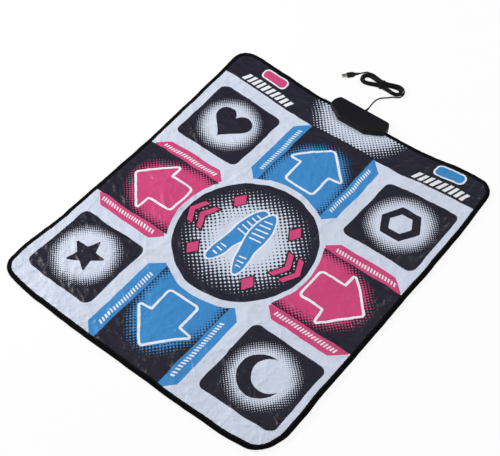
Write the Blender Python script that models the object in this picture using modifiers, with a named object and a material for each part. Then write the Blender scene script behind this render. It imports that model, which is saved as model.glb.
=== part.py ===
"""Dance mat controller: a soft floor mat with ten pressure pads, a control box on its back edge and a
tied USB lead. Metres, +Z up, +Y towards the control box. The origin is on the floor under the middle of
the mat and box together."""

import math

import bmesh
import bpy
import numpy as np
from mathutils import Matrix, Vector

# Mat outline
MAT_WIDTH = 0.800
MAT_DEPTH = 0.930
MAT_CORNER_RADIUS = 0.046

# Layers of the mat, from the floor up
LAYER_GAP = 0.0003
BOTTOM_SHEET_THICKNESS = 0.0006
FILM_THICKNESS = 0.0003
CONTACT_THICKNESS = 0.0003
SPACER_THICKNESS = 0.0020
CUSHION_THICKNESS = 0.0020
COVER_THICKNESS = 0.0006
UPPER_CONTACT_THICKNESS = 0.0006

# Edge binding
BINDING_WIDTH = 0.012
BINDING_WALL = 0.0015
BINDING_TAPE = 0.0008
BINDING_EDGE_RADIUS = 0.0022

# Pressure pads; the margins run from the mat's edges to the pads' outer sides, and MENU_PAD_INSET from the
# corner pads' outer sides to the menu pads'
CORNER_PAD_SIZE = 0.200
CORNER_PAD_RADIUS = 0.018
CORNER_PAD_LEFT_MARGIN = 0.038
CORNER_PAD_RIGHT_MARGIN = 0.028
CORNER_PAD_FRONT_MARGIN = 0.058
CORNER_PAD_BACK_MARGIN = 0.138
RING_OUTER_RADIUS = 0.198
ARROW_PAD_WIDTH = 0.190
ARROW_PAD_OVERREACH = 0.005
ARROW_PAD_MARGIN = 0.002
ARROW_PAD_RADIUS = 0.008
MENU_PAD_INSET = 0.048
MENU_PAD_BACK_MARGIN = 0.0185
MENU_PAD_WIDTH = 0.086
MENU_PAD_DEPTH = 0.034
MENU_PAD_RADIUS = 0.013
PAD_CROWN = 0.0015
PAD_CLEARANCE = 0.0005
CONTACT_INSET = 0.006

# Control box, measured from its own centre line and from the mat's back edge
BOX_OFFSET = -0.011
BOX_OVERHANG = 0.021
BOX_FRONT = 0.043
BOX_FRONT_WIDTH = 0.080
BOX_SHOULDER_WIDTH = 0.172
BOX_SHOULDER_FRONT = 0.016
BOX_SHOULDER_BACK = 0.003
BOX_BACK_WIDTH = 0.156
BOX_HEIGHT = 0.022
BOX_CORNER_RADIUS = 0.012
BOX_EDGE_RADIUS = 0.003
LID_WALL = 0.0020
BASE_WALL = 0.0020
BASE_INSET = 0.0008
COVER_TUCK = 0.004

# Screws and bosses
SCREW_SHANK_RADIUS = 0.0013
SCREW_HEAD_RADIUS = 0.0028
SCREW_HEAD_HEIGHT = 0.0014
SCREW_LENGTH = 0.0125
SCREW_CLEARANCE = 0.0003
BOSS_WALL = 0.0013
FRONT_SCREW_SIDE_MARGIN = 0.041
FRONT_SCREW_BACK = 0.030
REAR_SCREW_SIDE_MARGIN = 0.022
REAR_SCREW_BEHIND = 0.006

# Circuit board and what it carries
BOARD_WIDTH = 0.066
BOARD_DEPTH = 0.030
BOARD_THICKNESS = 0.0010
BOARD_FRONT_GAP = 0.0012
TAIL_WIDTH = 0.028
TAIL_OVERLAP = 0.0085
CLAMP_WIDTH = 0.050
CLAMP_DEPTH = 0.006
CLAMP_HEIGHT = 0.0030
CLAMP_SCREW_SPREAD = 0.020
CLAMP_SCREW_RADIUS = 0.0009
CLAMP_HEAD_RADIUS = 0.0018
CLAMP_HEAD_HEIGHT = 0.0012
CHIP_RADIUS = 0.0065
CHIP_HEIGHT = 0.0020
CRYSTAL_LENGTH = 0.011
CRYSTAL_WIDTH = 0.0046
CRYSTAL_HEIGHT = 0.0034
CAPACITOR_RADIUS = 0.0026
CAPACITOR_HEIGHT = 0.0070

# Cord and its strain relief
CORD_DIAMETER = 0.0040
RELIEF_FLANGE_RADIUS = 0.0045
RELIEF_FLANGE_LENGTH = 0.0020
RELIEF_GROOVE_RADIUS = 0.0030
RELIEF_SLEEVE_LENGTH = 0.012
RELIEF_SLEEVE_RADIUS = 0.0036
RELIEF_TIP_RADIUS = 0.0027
RELIEF_RIB_COUNT = 4
RELIEF_RIB_DEPTH = 0.0004

# Hank: loops drawn in at the waist, wound in and out again in two layers. Its centre, the plug's neck and
# the free cord's points are measured from the middle of the box's back face.
HANK_CENTRE = (-0.024, 0.115)
HANK_TILT = math.radians(6)
HANK_HALF_LENGTH = 0.0525
HANK_WAIST = 0.0006
HANK_SWELL = 0.0225
HANK_PITCH = 0.0046
HANK_START_ANGLE = math.radians(-31)
HANK_END_ANGLE = math.radians(155)
HANK_WHOLE_TURNS = 5
HANK_POINTS_PER_TURN = 24
TIE_THICKNESS = 0.0008
TIE_WIDTH = 0.006
TIE_CLEARANCE = 0.0004

# Plug
PLUG_POINT = (-0.098, 0.114)
PLUG_HEADING = math.radians(230)
PLUG_WIDTH = 0.016
PLUG_HEIGHT = 0.0084
PLUG_NECK_LENGTH = 0.012
PLUG_BODY_LENGTH = 0.0225
PLUG_NECK_RADIUS = 0.0028
SHELL_WIDTH = 0.0120
SHELL_HEIGHT = 0.0045
SHELL_LENGTH = 0.0125
SHELL_WALL = 0.0004
TONGUE_WIDTH = 0.0106
TONGUE_HEIGHT = 0.0016
TONGUE_RECESS = 0.0010
SHELL_HOLE_SIZE = 0.0023
SHELL_HOLE_SPREAD = 0.0050
SHELL_HOLE_FROM_TIP = 0.0065

# Faceting
CORNER_STEPS = 3
ARC_STEPS = 8
ROUND_SEGMENTS = 16

# Places worked out from the sizes above
MAT_FRONT_Y = -(MAT_DEPTH + BOX_OVERHANG) / 2
MAT_BACK_Y = MAT_FRONT_Y + MAT_DEPTH
PAD_ROWS_DEPTH = MAT_DEPTH - CORNER_PAD_FRONT_MARGIN - CORNER_PAD_BACK_MARGIN
PAD_COLUMNS_WIDTH = MAT_WIDTH - CORNER_PAD_LEFT_MARGIN - CORNER_PAD_RIGHT_MARGIN
PAD_PITCH_X = (PAD_COLUMNS_WIDTH - CORNER_PAD_SIZE) / 2
PRINT_CENTRE_X = (CORNER_PAD_LEFT_MARGIN - CORNER_PAD_RIGHT_MARGIN) / 2
PAD_PITCH_Y = (PAD_ROWS_DEPTH - CORNER_PAD_SIZE) / 2
PRINT_CENTRE_Y = MAT_FRONT_Y + CORNER_PAD_FRONT_MARGIN + PAD_ROWS_DEPTH / 2
BOX_BACK = (BOX_OFFSET, MAT_BACK_Y + BOX_OVERHANG)
BOTTOM_SHEET_TOP = BOTTOM_SHEET_THICKNESS
LOWER_FILM_Z = BOTTOM_SHEET_TOP + LAYER_GAP
SPACER_Z = LOWER_FILM_Z + FILM_THICKNESS + LAYER_GAP
UPPER_FILM_Z = SPACER_Z + SPACER_THICKNESS + LAYER_GAP
CUSHION_Z = UPPER_FILM_Z + FILM_THICKNESS + LAYER_GAP
COVER_Z = CUSHION_Z + CUSHION_THICKNESS + LAYER_GAP
COVER_TOP = COVER_Z + COVER_THICKNESS
UPPER_CONTACT_Z = CUSHION_Z - LAYER_GAP - UPPER_CONTACT_THICKNESS
LAYER_INSET = BINDING_WALL + LAYER_GAP
BASE_FLOOR_TOP = UPPER_FILM_Z - 2 * LAYER_GAP - BOARD_THICKNESS
BASE_RIM = COVER_Z - LAYER_GAP
LID_RIM = COVER_TOP + LAYER_GAP
BOARD_Z = BASE_FLOOR_TOP + LAYER_GAP
BOARD_TOP = BOARD_Z + BOARD_THICKNESS
CORD_RADIUS = CORD_DIAMETER / 2
CORD_EXIT_Z = LID_RIM + RELIEF_FLANGE_RADIUS
HANK_LOW_Z = LAYER_GAP + TIE_THICKNESS + TIE_CLEARANCE + CORD_RADIUS
HANK_HIGH_Z = HANK_LOW_Z + HANK_PITCH

parts_collection = None
cutters_collection = None


def start_scene():
    """Empty the scene and make the two collections."""
    global parts_collection, cutters_collection
    for item in list(bpy.data.objects):
        bpy.data.objects.remove(item, do_unlink=True)
    parts_collection = bpy.data.collections.new("dance_mat_controller")
    cutters_collection = bpy.data.collections.new("cutters")
    bpy.context.scene.collection.children.link(parts_collection)
    bpy.context.scene.collection.children.link(cutters_collection)


def make_material(name, colour, roughness, metallic=0.0):
    material = bpy.data.materials.new(name)
    material.use_nodes = True
    shader = material.node_tree.nodes["Principled BSDF"]
    shader.inputs["Base Color"].default_value = (*colour, 1.0)
    shader.inputs["Roughness"].default_value = roughness
    shader.inputs["Metallic"].default_value = metallic
    return material


def add_object(name, data, finish, location=(0, 0, 0), parent=None):
    """Link a new object into the parts collection with its own material."""
    colour, roughness, metallic = finish
    item = bpy.data.objects.new(name, data)
    item.location = location
    item.parent = parent
    data.materials.append(make_material(name, colour, roughness, metallic))
    parts_collection.objects.link(item)
    return item


def add_empty(name, location):
    item = bpy.data.objects.new(name, None)
    item.location = location
    item.empty_display_size = 0.02
    parts_collection.objects.link(item)
    return item


# Finishes: colour, roughness, metallic
CHARCOAL_VINYL = ((0.024, 0.024, 0.032), 0.45, 0.0)
PINK_VINYL = ((0.73, 0.055, 0.22), 0.42, 0.0)
BLUE_VINYL = ((0.051, 0.26, 0.60), 0.42, 0.0)
PALE_VINYL = ((0.68, 0.70, 0.82), 0.45, 0.0)
BLACK_BINDING = ((0.008, 0.008, 0.009), 0.85, 0.0)
BACKING = ((0.020, 0.020, 0.022), 0.90, 0.0)
CLEAR_FILM = ((0.70, 0.72, 0.70), 0.30, 0.0)
CARBON_INK = ((0.020, 0.020, 0.020), 0.60, 0.0)
WHITE_FOAM = ((0.78, 0.78, 0.75), 0.95, 0.0)
GREY_FOAM = ((0.30, 0.30, 0.31), 0.95, 0.0)
BLACK_ABS = ((0.012, 0.012, 0.014), 0.42, 0.0)
BOARD_GREEN = ((0.020, 0.140, 0.050), 0.45, 0.0)
BLACK_EPOXY = ((0.010, 0.010, 0.010), 0.25, 0.0)
BRIGHT_STEEL = ((0.58, 0.58, 0.57), 0.30, 1.0)
BLACK_PVC = ((0.010, 0.010, 0.011), 0.50, 0.0)
NICKEL = ((0.62, 0.61, 0.58), 0.25, 1.0)
WHITE_NYLON = ((0.75, 0.75, 0.73), 0.50, 0.0)


def rectangle(centre_x, centre_y, width, depth):
    """Corners of a rectangle, counter-clockwise."""
    left, right = centre_x - width / 2, centre_x + width / 2
    front, back = centre_y - depth / 2, centre_y + depth / 2
    return [(left, front), (right, front), (right, back), (left, back)]


def offset_corners(corners, distance):
    """Move every side of a counter-clockwise outline outwards by a distance."""
    points = np.array(corners, float)
    sides = np.roll(points, -1, axis=0) - points
    sides /= np.linalg.norm(sides, axis=1)[:, None]
    outward = np.stack([sides[:, 1], -sides[:, 0]], axis=1)
    before = np.roll(outward, 1, axis=0)
    lean = (before + outward) / (1 + np.sum(before * outward, axis=1))[:, None]
    return points + distance * lean


def rounded(corners, radii, steps=CORNER_STEPS):
    """Turn each corner that has a radius into an arc."""
    points = np.array(corners, float)
    outline = []
    for index, corner in enumerate(points):
        if radii[index] <= 0:
            outline.append(tuple(corner))
            continue
        back = points[index - 1] - corner
        ahead = points[(index + 1) % len(points)] - corner
        back /= np.linalg.norm(back)
        ahead /= np.linalg.norm(ahead)
        half_angle = math.acos(np.dot(back, ahead)) / 2
        middle = (back + ahead) / np.linalg.norm(back + ahead)
        centre = corner + middle * radii[index] / math.sin(half_angle)
        start = corner + back * radii[index] / math.tan(half_angle) - centre
        turn = math.pi - 2 * half_angle
        if back[0] * ahead[1] - back[1] * ahead[0] > 0:
            turn = -turn
        for angle in np.linspace(0, turn, steps + 1):
            x = start[0] * math.cos(angle) - start[1] * math.sin(angle)
            y = start[0] * math.sin(angle) + start[1] * math.cos(angle)
            outline.append((centre[0] + x, centre[1] + y))
    return outline


def circle(centre, radius, segments=ROUND_SEGMENTS):
    angles = np.arange(segments) * 2 * math.pi / segments
    return [(centre[0] + radius * math.cos(a), centre[1] + radius * math.sin(a)) for a in angles]


def rounded_rectangle(centre, width, depth, radius, grow=0.0):
    """Outline of a rounded rectangle with all its sides moved outwards by grow."""
    corners = offset_corners(rectangle(*centre, width, depth), grow)
    return rounded(corners, [max(radius + grow, 0.0005)] * 4)


def flat_piece(name, outlines, bottom, thickness, finish, centre=(0, 0), parent=None):
    """A flat sheet or plate: the first outline is its edge, and the others are holes."""
    data = bpy.data.curves.new(name, "CURVE")
    data.dimensions = "2D"
    data.fill_mode = "BOTH"
    data.extrude = thickness / 2
    data.render_resolution_u = 0
    for outline in outlines:
        spline = data.splines.new("POLY")
        spline.points.add(len(outline) - 1)
        for point, (x, y) in zip(spline.points, outline):
            point.co = (x - centre[0], y - centre[1], 0, 1)
        spline.use_cyclic_u = True
    middle = bottom + thickness / 2
    if parent:
        return add_object(name, data, finish, (0, 0, middle - parent.location.z), parent)
    return add_object(name, data, finish, (*centre, middle))


def ring_mesh(name, rings, close_bottom=True, close_top=True):
    """A skin over a stack of rings with equal point counts, ordered upwards and counter-clockwise."""
    mesh = bmesh.new()
    rows = [[mesh.verts.new(point) for point in ring] for ring in rings]
    count = len(rows[0])
    for low, high in zip(rows, rows[1:]):
        for index in range(count):
            following = (index + 1) % count
            mesh.faces.new((low[index], low[following], high[following], high[index]))
    if close_bottom:
        mesh.faces.new(list(reversed(rows[0])))
    if close_top:
        mesh.faces.new(rows[-1])
    data = bpy.data.meshes.new(name)
    mesh.to_mesh(data)
    mesh.free()
    return data


def lift(outline, height):
    return [(x, y, height) for x, y in outline]


def prism_mesh(name, outline, bottom, top):
    return ring_mesh(name, [lift(outline, bottom), lift(outline, top)])


def shade_round(item, angle=40):
    item.data.shade_smooth()
    item.data.set_sharp_from_angle(angle=math.radians(angle))


def add_cutter(name, data, location=(0, 0, 0)):
    """A hidden tool for a Boolean."""
    item = bpy.data.objects.new(name, data)
    item.location = location
    item.hide_render = True
    item.display_type = "WIRE"
    cutters_collection.objects.link(item)
    return item


def boolean(item, tool, operation):
    modifier = item.modifiers.new(tool.name, "BOOLEAN")
    modifier.operation = operation
    modifier.solver = "EXACT"
    modifier.object = tool


def turned(name, profile, finish, location=(0, 0, 0), parent=None, steps=ROUND_SEGMENTS):
    """Spin a profile of (radius, height) points, listed from top to bottom, about its own Z axis."""
    data = bpy.data.meshes.new(name)
    edges = [(index, index + 1) for index in range(len(profile) - 1)]
    data.from_pydata([(radius, 0, height) for radius, height in profile], edges, [])
    item = add_object(name, data, finish, location, parent)
    spin = item.modifiers.new("spin", "SCREW")
    spin.steps = steps
    spin.render_steps = steps
    spin.use_merge_vertices = True
    spin.merge_threshold = 0.00001
    spin.use_smooth_shade = True
    return item


def tube(name, points, radius, finish, resolution=2):
    """A round cord along a list of points."""
    data = bpy.data.curves.new(name, "CURVE")
    data.dimensions = "3D"
    data.bevel_depth = radius
    data.bevel_resolution = resolution
    data.use_fill_caps = True
    data.render_resolution_u = 0
    spline = data.splines.new("POLY")
    spline.points.add(len(points) - 1)
    for point, place in zip(spline.points, points):
        point.co = (*place, 1)
    return add_object(name, data, finish)


def mat_corners(inset):
    centre_y = (MAT_FRONT_Y + MAT_BACK_Y) / 2
    return rectangle(0, centre_y, MAT_WIDTH - 2 * inset, MAT_DEPTH - 2 * inset)


def mat_outline(inset):
    """The mat's plain outline, moved in from its outer edge."""
    return rounded(mat_corners(inset), [MAT_CORNER_RADIUS - inset] * 4)


def box_corners():
    """Corners of the control box seen from above, counter-clockwise from the front left."""
    front = MAT_BACK_Y - BOX_FRONT
    shoulder_front = MAT_BACK_Y - BOX_SHOULDER_FRONT
    shoulder_back = MAT_BACK_Y + BOX_SHOULDER_BACK
    back = MAT_BACK_Y + BOX_OVERHANG
    right_side = [
        (BOX_FRONT_WIDTH / 2, front),
        (BOX_SHOULDER_WIDTH / 2, shoulder_front),
        (BOX_SHOULDER_WIDTH / 2, shoulder_back),
        (BOX_BACK_WIDTH / 2, back),
    ]
    left_side = [(-x, y) for x, y in reversed(right_side)]
    return [(BOX_OFFSET + x, y) for x, y in left_side[-1:] + right_side + left_side[:-1]]


def box_radii(grow):
    """Corner radii of the box outline: front, shoulder, shoulder, back, and the same on the left."""
    front = BOX_CORNER_RADIUS * 0.7
    shoulder = BOX_CORNER_RADIUS * 0.5
    back = BOX_CORNER_RADIUS
    radii = [front, front, shoulder, shoulder, back, back, shoulder, shoulder]
    return [max(radius + grow, 0.001) for radius in radii]


def box_outline(grow=0.0):
    return rounded(offset_corners(box_corners(), grow), box_radii(grow), 3)


def notched_outline(notch_grow, tail=False):
    """The mat's inner outline with the box's front half let into its back edge."""
    inset = LAYER_INSET
    corners = mat_corners(inset)
    radius = MAT_CORNER_RADIUS - inset
    box = offset_corners(box_corners(), notch_grow)
    back = MAT_BACK_Y - inset
    front_left, front_right, right = box[0], box[1], box[2]
    left = box[7]
    notch = [(right[0], back), tuple(right), tuple(front_right)]
    notch_radii = [0, BOX_CORNER_RADIUS * 0.5, BOX_CORNER_RADIUS * 0.7]
    if tail:
        tip = MAT_BACK_Y - BOX_FRONT + BASE_INSET + BASE_WALL + BOARD_FRONT_GAP + TAIL_OVERLAP
        for side in (1, -1):
            root = (BOX_OFFSET + side * TAIL_WIDTH / 2, front_right[1])
            end = (BOX_OFFSET + side * TAIL_WIDTH / 2, tip)
            notch += [root, end] if side > 0 else [end, root]
            notch_radii += [0, 0.002] if side > 0 else [0.002, 0]
    notch += [tuple(front_left), tuple(left), (left[0], back)]
    notch_radii += [BOX_CORNER_RADIUS * 0.7, BOX_CORNER_RADIUS * 0.5, 0]
    outline = [corners[0], corners[1], corners[2]] + notch + [corners[3]]
    return rounded(outline, [radius] * 3 + notch_radii + [radius])


def turn_points(points, quarter_turns):
    """Turn points about the centre of the print, then place them in the mat's frame."""
    cosine = round(math.cos(quarter_turns * math.pi / 2))
    sine = round(math.sin(quarter_turns * math.pi / 2))
    turned_points = [(x * cosine - y * sine, x * sine + y * cosine) for x, y in points]
    return [(x + PRINT_CENTRE_X, y + PRINT_CENTRE_Y) for x, y in turned_points]


def arrow_pad_reach(quarter_turns):
    """Distance from the print's centre to an arrow pad's outer side, a little past the corner pads."""
    pitch = PAD_PITCH_X if quarter_turns % 2 else PAD_PITCH_Y
    return pitch + CORNER_PAD_SIZE / 2 + ARROW_PAD_OVERREACH


def arrow_pad_outline(quarter_turns, grow=0.0):
    """A straight-sided pad whose inner side follows the ring round the centre disc."""
    half_width = ARROW_PAD_WIDTH / 2 + grow
    inner_radius = RING_OUTER_RADIUS + ARROW_PAD_MARGIN - grow
    reach = arrow_pad_reach(quarter_turns) + grow
    spread = math.asin(half_width / inner_radius)
    angles = np.linspace(-spread, spread, ARC_STEPS + 1)
    corners = [(inner_radius * math.sin(a), inner_radius * math.cos(a)) for a in angles]
    radii = [0] * len(corners) + [max(ARROW_PAD_RADIUS + grow, 0.0005)] * 2
    corners += [(half_width, reach), (-half_width, reach)]
    return turn_points(rounded(corners, radii), quarter_turns)


def pad_list():
    """Every pad: its name, centre, outline for a given growth, half size and finish."""
    pads = []
    for name, turns, finish in (
        ("up", 0, BLUE_VINYL),
        ("left", 1, PINK_VINYL),
        ("down", 2, BLUE_VINYL),
        ("right", 3, PINK_VINYL),
    ):
        reach = arrow_pad_reach(turns)
        middle = (RING_OUTER_RADIUS + reach) / 2
        centre = turn_points([(0, middle)], turns)[0]
        half = (reach - RING_OUTER_RADIUS - ARROW_PAD_MARGIN) / 2
        pads.append((f"arrow_{name}", centre, lambda grow, t=turns: arrow_pad_outline(t, grow), half, finish))
    for name, side_x, side_y in (
        ("back_left", -1, 1),
        ("back_right", 1, 1),
        ("front_left", -1, -1),
        ("front_right", 1, -1),
    ):
        centre = (side_x * PAD_PITCH_X + PRINT_CENTRE_X, side_y * PAD_PITCH_Y + PRINT_CENTRE_Y)
        size = CORNER_PAD_SIZE
        outline = lambda grow, c=centre, s=size: rounded_rectangle(c, s, s, CORNER_PAD_RADIUS, grow)
        pads.append((f"corner_{name}", centre, outline, size / 2, CHARCOAL_VINYL))
    menu_x = PAD_PITCH_X + CORNER_PAD_SIZE / 2 - MENU_PAD_INSET - MENU_PAD_WIDTH / 2
    menu_y = MAT_BACK_Y - MENU_PAD_BACK_MARGIN - MENU_PAD_DEPTH / 2
    for name, side_x, finish in (("left", -1, PINK_VINYL), ("right", 1, BLUE_VINYL)):
        centre = (side_x * menu_x + PRINT_CENTRE_X, menu_y)
        outline = lambda grow, c=centre: rounded_rectangle(
            c, MENU_PAD_WIDTH, MENU_PAD_DEPTH, MENU_PAD_RADIUS, grow
        )
        pads.append((f"menu_{name}", centre, outline, MENU_PAD_DEPTH / 2, finish))
    return pads


def build_sheets(pads):
    """The sheets of the sandwich; those above the lower film have a window for each pad."""
    windows = [outline(PAD_CLEARANCE) for _, _, outline, _, _ in pads]
    notch = PAD_CLEARANCE - BASE_INSET
    screw_holes = [
        circle(place, SCREW_HEAD_RADIUS + 2 * SCREW_CLEARANCE) for place in screw_places()[:2]
    ]
    bottom = mat_outline(BINDING_WIDTH + LAYER_GAP)
    flat_piece("bottom_sheet", [bottom] + screw_holes, 0, BOTTOM_SHEET_THICKNESS, BACKING)
    flat_piece("lower_film", [notched_outline(notch)], LOWER_FILM_Z, FILM_THICKNESS, CLEAR_FILM)
    spacer = [notched_outline(notch)] + windows
    flat_piece("spacer_foam", spacer, SPACER_Z, SPACER_THICKNESS, WHITE_FOAM)
    film = [notched_outline(notch, tail=True)] + windows
    flat_piece("upper_film", film, UPPER_FILM_Z, FILM_THICKNESS, CLEAR_FILM)
    cushion = [notched_outline(notch)] + windows
    flat_piece("cushion_foam", cushion, CUSHION_Z, CUSHION_THICKNESS, GREY_FOAM)
    cover = [notched_outline(-COVER_TUCK)] + windows
    flat_piece("top_cover", cover, COVER_Z, COVER_THICKNESS, PALE_VINYL)


def pad_rings(outline, centre, half_size, base_z):
    """Rings of a pad: straight sides up to the cover's level, then a low crown."""
    def ring(grow, height):
        return [(x - centre[0], y - centre[1], height - base_z) for x, y in outline(grow)]

    rings = [ring(0, CUSHION_Z), ring(0, COVER_TOP)]
    for share in (0.06, 0.2, 0.45, 0.75):
        rise = PAD_CROWN * (1 - (1 - share) ** 2)
        rings.append(ring(-share * half_size, COVER_TOP + rise))
    return rings


def build_pads(pads):
    """Each pad with the carbon contact under it, and the contact that it is pressed down to."""
    for name, centre, outline, half_size, finish in pads:
        carrier = add_empty(f"{name}_carrier", (*centre, COVER_TOP))
        data = ring_mesh(f"{name}_pad", pad_rings(outline, centre, half_size, COVER_TOP))
        pad = add_object(f"{name}_pad", data, finish, (0, 0, 0), carrier)
        shade_round(pad, 30)
        contact = [outline(-CONTACT_INSET)]
        flat_piece(
            f"{name}_upper_contact",
            contact,
            UPPER_CONTACT_Z,
            UPPER_CONTACT_THICKNESS,
            CARBON_INK,
            centre,
            carrier,
        )
        flat_piece(f"{name}_lower_contact", contact, SPACER_Z, CONTACT_THICKNESS, CARBON_INK, centre)


def binding_path():
    """Outer edge of the mat from the box's right side all the way round to its left side."""
    reach = BOX_SHOULDER_WIDTH / 2 + PAD_CLEARANCE
    corners = mat_corners(0)
    loop = [corners[2], corners[3], corners[0], corners[1]]
    arcs = rounded(loop, [MAT_CORNER_RADIUS] * 4, 6)
    count = 7
    back_right, back_left, front_left, front_right = (arcs[i * count : (i + 1) * count] for i in range(4))
    path = [(BOX_OFFSET - reach, MAT_BACK_Y)] + back_left + front_left + front_right + back_right
    return path + [(BOX_OFFSET + reach, MAT_BACK_Y)]


def binding_profile():
    """Section of the folded tape: (distance in from the edge, height) points."""
    top = COVER_TOP + LAYER_GAP + BINDING_TAPE
    inner_top = COVER_TOP + LAYER_GAP
    radius = BINDING_EDGE_RADIUS
    lower = [(BINDING_WIDTH, BOTTOM_SHEET_TOP), (BINDING_WIDTH, 0), (radius, 0)]
    nose = [(radius * 0.29, radius * 0.29), (0, radius), (0, top - radius)]
    upper = [(radius * 0.29, top - radius * 0.29), (radius, top), (BINDING_WIDTH - BINDING_TAPE, top)]
    inside = [(BINDING_WIDTH, inner_top), (BINDING_WALL, inner_top), (BINDING_WALL, BOTTOM_SHEET_TOP)]
    return list(reversed(lower + nose + upper + inside))


def build_binding():
    """Sweep the binding's section along the mat's edge, mitred at every point of the path."""
    path = np.array(binding_path())
    steps = np.diff(path, axis=0)
    steps /= np.linalg.norm(steps, axis=1)[:, None]
    before = np.vstack([steps[:1], steps])
    after = np.vstack([steps, steps[-1:]])
    inward_before = np.stack([-before[:, 1], before[:, 0]], axis=1)
    inward_after = np.stack([-after[:, 1], after[:, 0]], axis=1)
    share = 1 + np.sum(inward_before * inward_after, axis=1)
    inward = (inward_before + inward_after) / share[:, None]
    rings = []
    for point, direction in zip(path, inward):
        section = [(*(point + direction * distance), height) for distance, height in binding_profile()]
        rings.append(section)
    item = add_object("edge_binding", ring_mesh("edge_binding", rings), BLACK_BINDING)
    shade_round(item)


def screw_places():
    """Centres of the box screws: front pair, then rear pair."""
    front = MAT_BACK_Y - FRONT_SCREW_BACK
    rear = MAT_BACK_Y + REAR_SCREW_BEHIND
    front_half = BOX_SHOULDER_WIDTH / 2 - FRONT_SCREW_SIDE_MARGIN
    rear_half = BOX_SHOULDER_WIDTH / 2 - REAR_SCREW_SIDE_MARGIN
    return [
        (BOX_OFFSET - front_half, front),
        (BOX_OFFSET + front_half, front),
        (BOX_OFFSET - rear_half, rear),
        (BOX_OFFSET + rear_half, rear),
    ]


def clamp_places():
    y = board_front() + CLAMP_DEPTH / 2 + BOARD_FRONT_GAP
    return [(BOX_OFFSET - CLAMP_SCREW_SPREAD, y), (BOX_OFFSET + CLAMP_SCREW_SPREAD, y)]


def board_front():
    return MAT_BACK_Y - BOX_FRONT + BASE_INSET + BASE_WALL + BOARD_FRONT_GAP


def head_bottom():
    return LOWER_FILM_Z + SCREW_CLEARANCE


def head_seat():
    return head_bottom() + SCREW_HEAD_HEIGHT + SCREW_CLEARANCE


def slab(name, x_range, y_range, z_range):
    """A plain block used as a cutter."""
    centre_x, centre_y = sum(x_range) / 2, sum(y_range) / 2
    outline = rectangle(centre_x, centre_y, x_range[1] - x_range[0], y_range[1] - y_range[0])
    return add_cutter(name, prism_mesh(name, outline, *z_range))


def round_tool(name, centre, radius, bottom, top):
    return add_cutter(name, prism_mesh(name, circle(centre, radius), bottom, top))


def build_base():
    """Lower half of the box: a tray stepped over the bottom sheet, with screw bosses."""
    reach = BOX_SHOULDER_WIDTH
    x_range = (BOX_OFFSET - reach, BOX_OFFSET + reach)
    step_y = MAT_BACK_Y - BINDING_WIDTH
    data = prism_mesh("box_base", box_outline(-BASE_INSET), 0, COVER_TOP)
    base = add_object("box_base", data, BLACK_ABS)
    pocket_outline = box_outline(-BASE_INSET - BASE_WALL)
    pocket = prism_mesh("base_pocket", pocket_outline, BASE_FLOOR_TOP, BOX_HEIGHT)
    boolean(base, add_cutter("base_pocket", pocket), "DIFFERENCE")
    front_y = MAT_BACK_Y - 2 * BOX_FRONT
    boolean(base, slab("base_step", x_range, (front_y, step_y), (-BOX_HEIGHT, LOWER_FILM_Z)), "DIFFERENCE")
    cover_edge = MAT_BACK_Y - LAYER_INSET + LAYER_GAP
    rim = slab("base_low_rim", x_range, (front_y, cover_edge), (BASE_RIM, BOX_HEIGHT))
    boolean(base, rim, "DIFFERENCE")
    slot_half = TAIL_WIDTH / 2 + PAD_CLEARANCE
    slot_x = (BOX_OFFSET - slot_half, BOX_OFFSET + slot_half)
    slot = slab("base_tail_slot", slot_x, (front_y, board_front()), (BOARD_TOP, BOX_HEIGHT))
    boolean(base, slot, "DIFFERENCE")
    head_hole = SCREW_HEAD_RADIUS + SCREW_CLEARANCE
    shank_hole = SCREW_SHANK_RADIUS + SCREW_CLEARANCE
    for index, place in enumerate(screw_places()):
        boss = round_tool(f"base_boss_{index}", place, head_hole + BOSS_WALL, LOWER_FILM_Z, COVER_TOP)
        boolean(base, boss, "UNION")
    for index, place in enumerate(screw_places()):
        head = round_tool(f"base_head_{index}", place, head_hole, -BOX_HEIGHT, head_seat())
        boolean(base, head, "DIFFERENCE")
        shank = round_tool(f"base_shank_{index}", place, shank_hole, 0, BOX_HEIGHT)
        boolean(base, shank, "DIFFERENCE")
    pilot_bottom = LOWER_FILM_Z + LAYER_GAP
    for index, place in enumerate(clamp_places()):
        radius = CLAMP_SCREW_RADIUS + SCREW_CLEARANCE
        pilot = round_tool(f"base_pilot_{index}", place, radius, pilot_bottom, BOX_HEIGHT)
        boolean(base, pilot, "DIFFERENCE")


def build_lid():
    """Upper half of the box: a thin moulded shell with a rounded top edge, bosses and a cord notch."""
    rings = [lift(box_outline(), LID_RIM)]
    for angle in np.linspace(0, math.pi / 2, 4):
        inset = BOX_EDGE_RADIUS * (1 - math.cos(angle))
        height = BOX_HEIGHT - BOX_EDGE_RADIUS * (1 - math.sin(angle))
        rings.append(lift(box_outline(-inset), height))
    data = ring_mesh("box_lid", rings, close_bottom=False)
    lid = add_object("box_lid", data, BLACK_ABS)
    shade_round(lid)
    wall = lid.modifiers.new("wall", "SOLIDIFY")
    wall.thickness = LID_WALL
    wall.offset = -1
    wall.use_even_offset = True
    boss_radius = SCREW_SHANK_RADIUS + SCREW_CLEARANCE + BOSS_WALL
    boss_top = BOX_HEIGHT - LID_WALL / 2
    for index, place in enumerate(screw_places()):
        boss = round_tool(f"lid_boss_{index}", place, boss_radius, LID_RIM, boss_top)
        boolean(lid, boss, "UNION")
    pilot_top = head_bottom() + SCREW_HEAD_HEIGHT + SCREW_LENGTH + SCREW_CLEARANCE
    for index, place in enumerate(screw_places()):
        radius = SCREW_SHANK_RADIUS + SCREW_CLEARANCE
        boolean(lid, round_tool(f"lid_pilot_{index}", place, radius, 0, pilot_top), "DIFFERENCE")
    boolean(lid, cord_notch_tool(), "DIFFERENCE")


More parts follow.
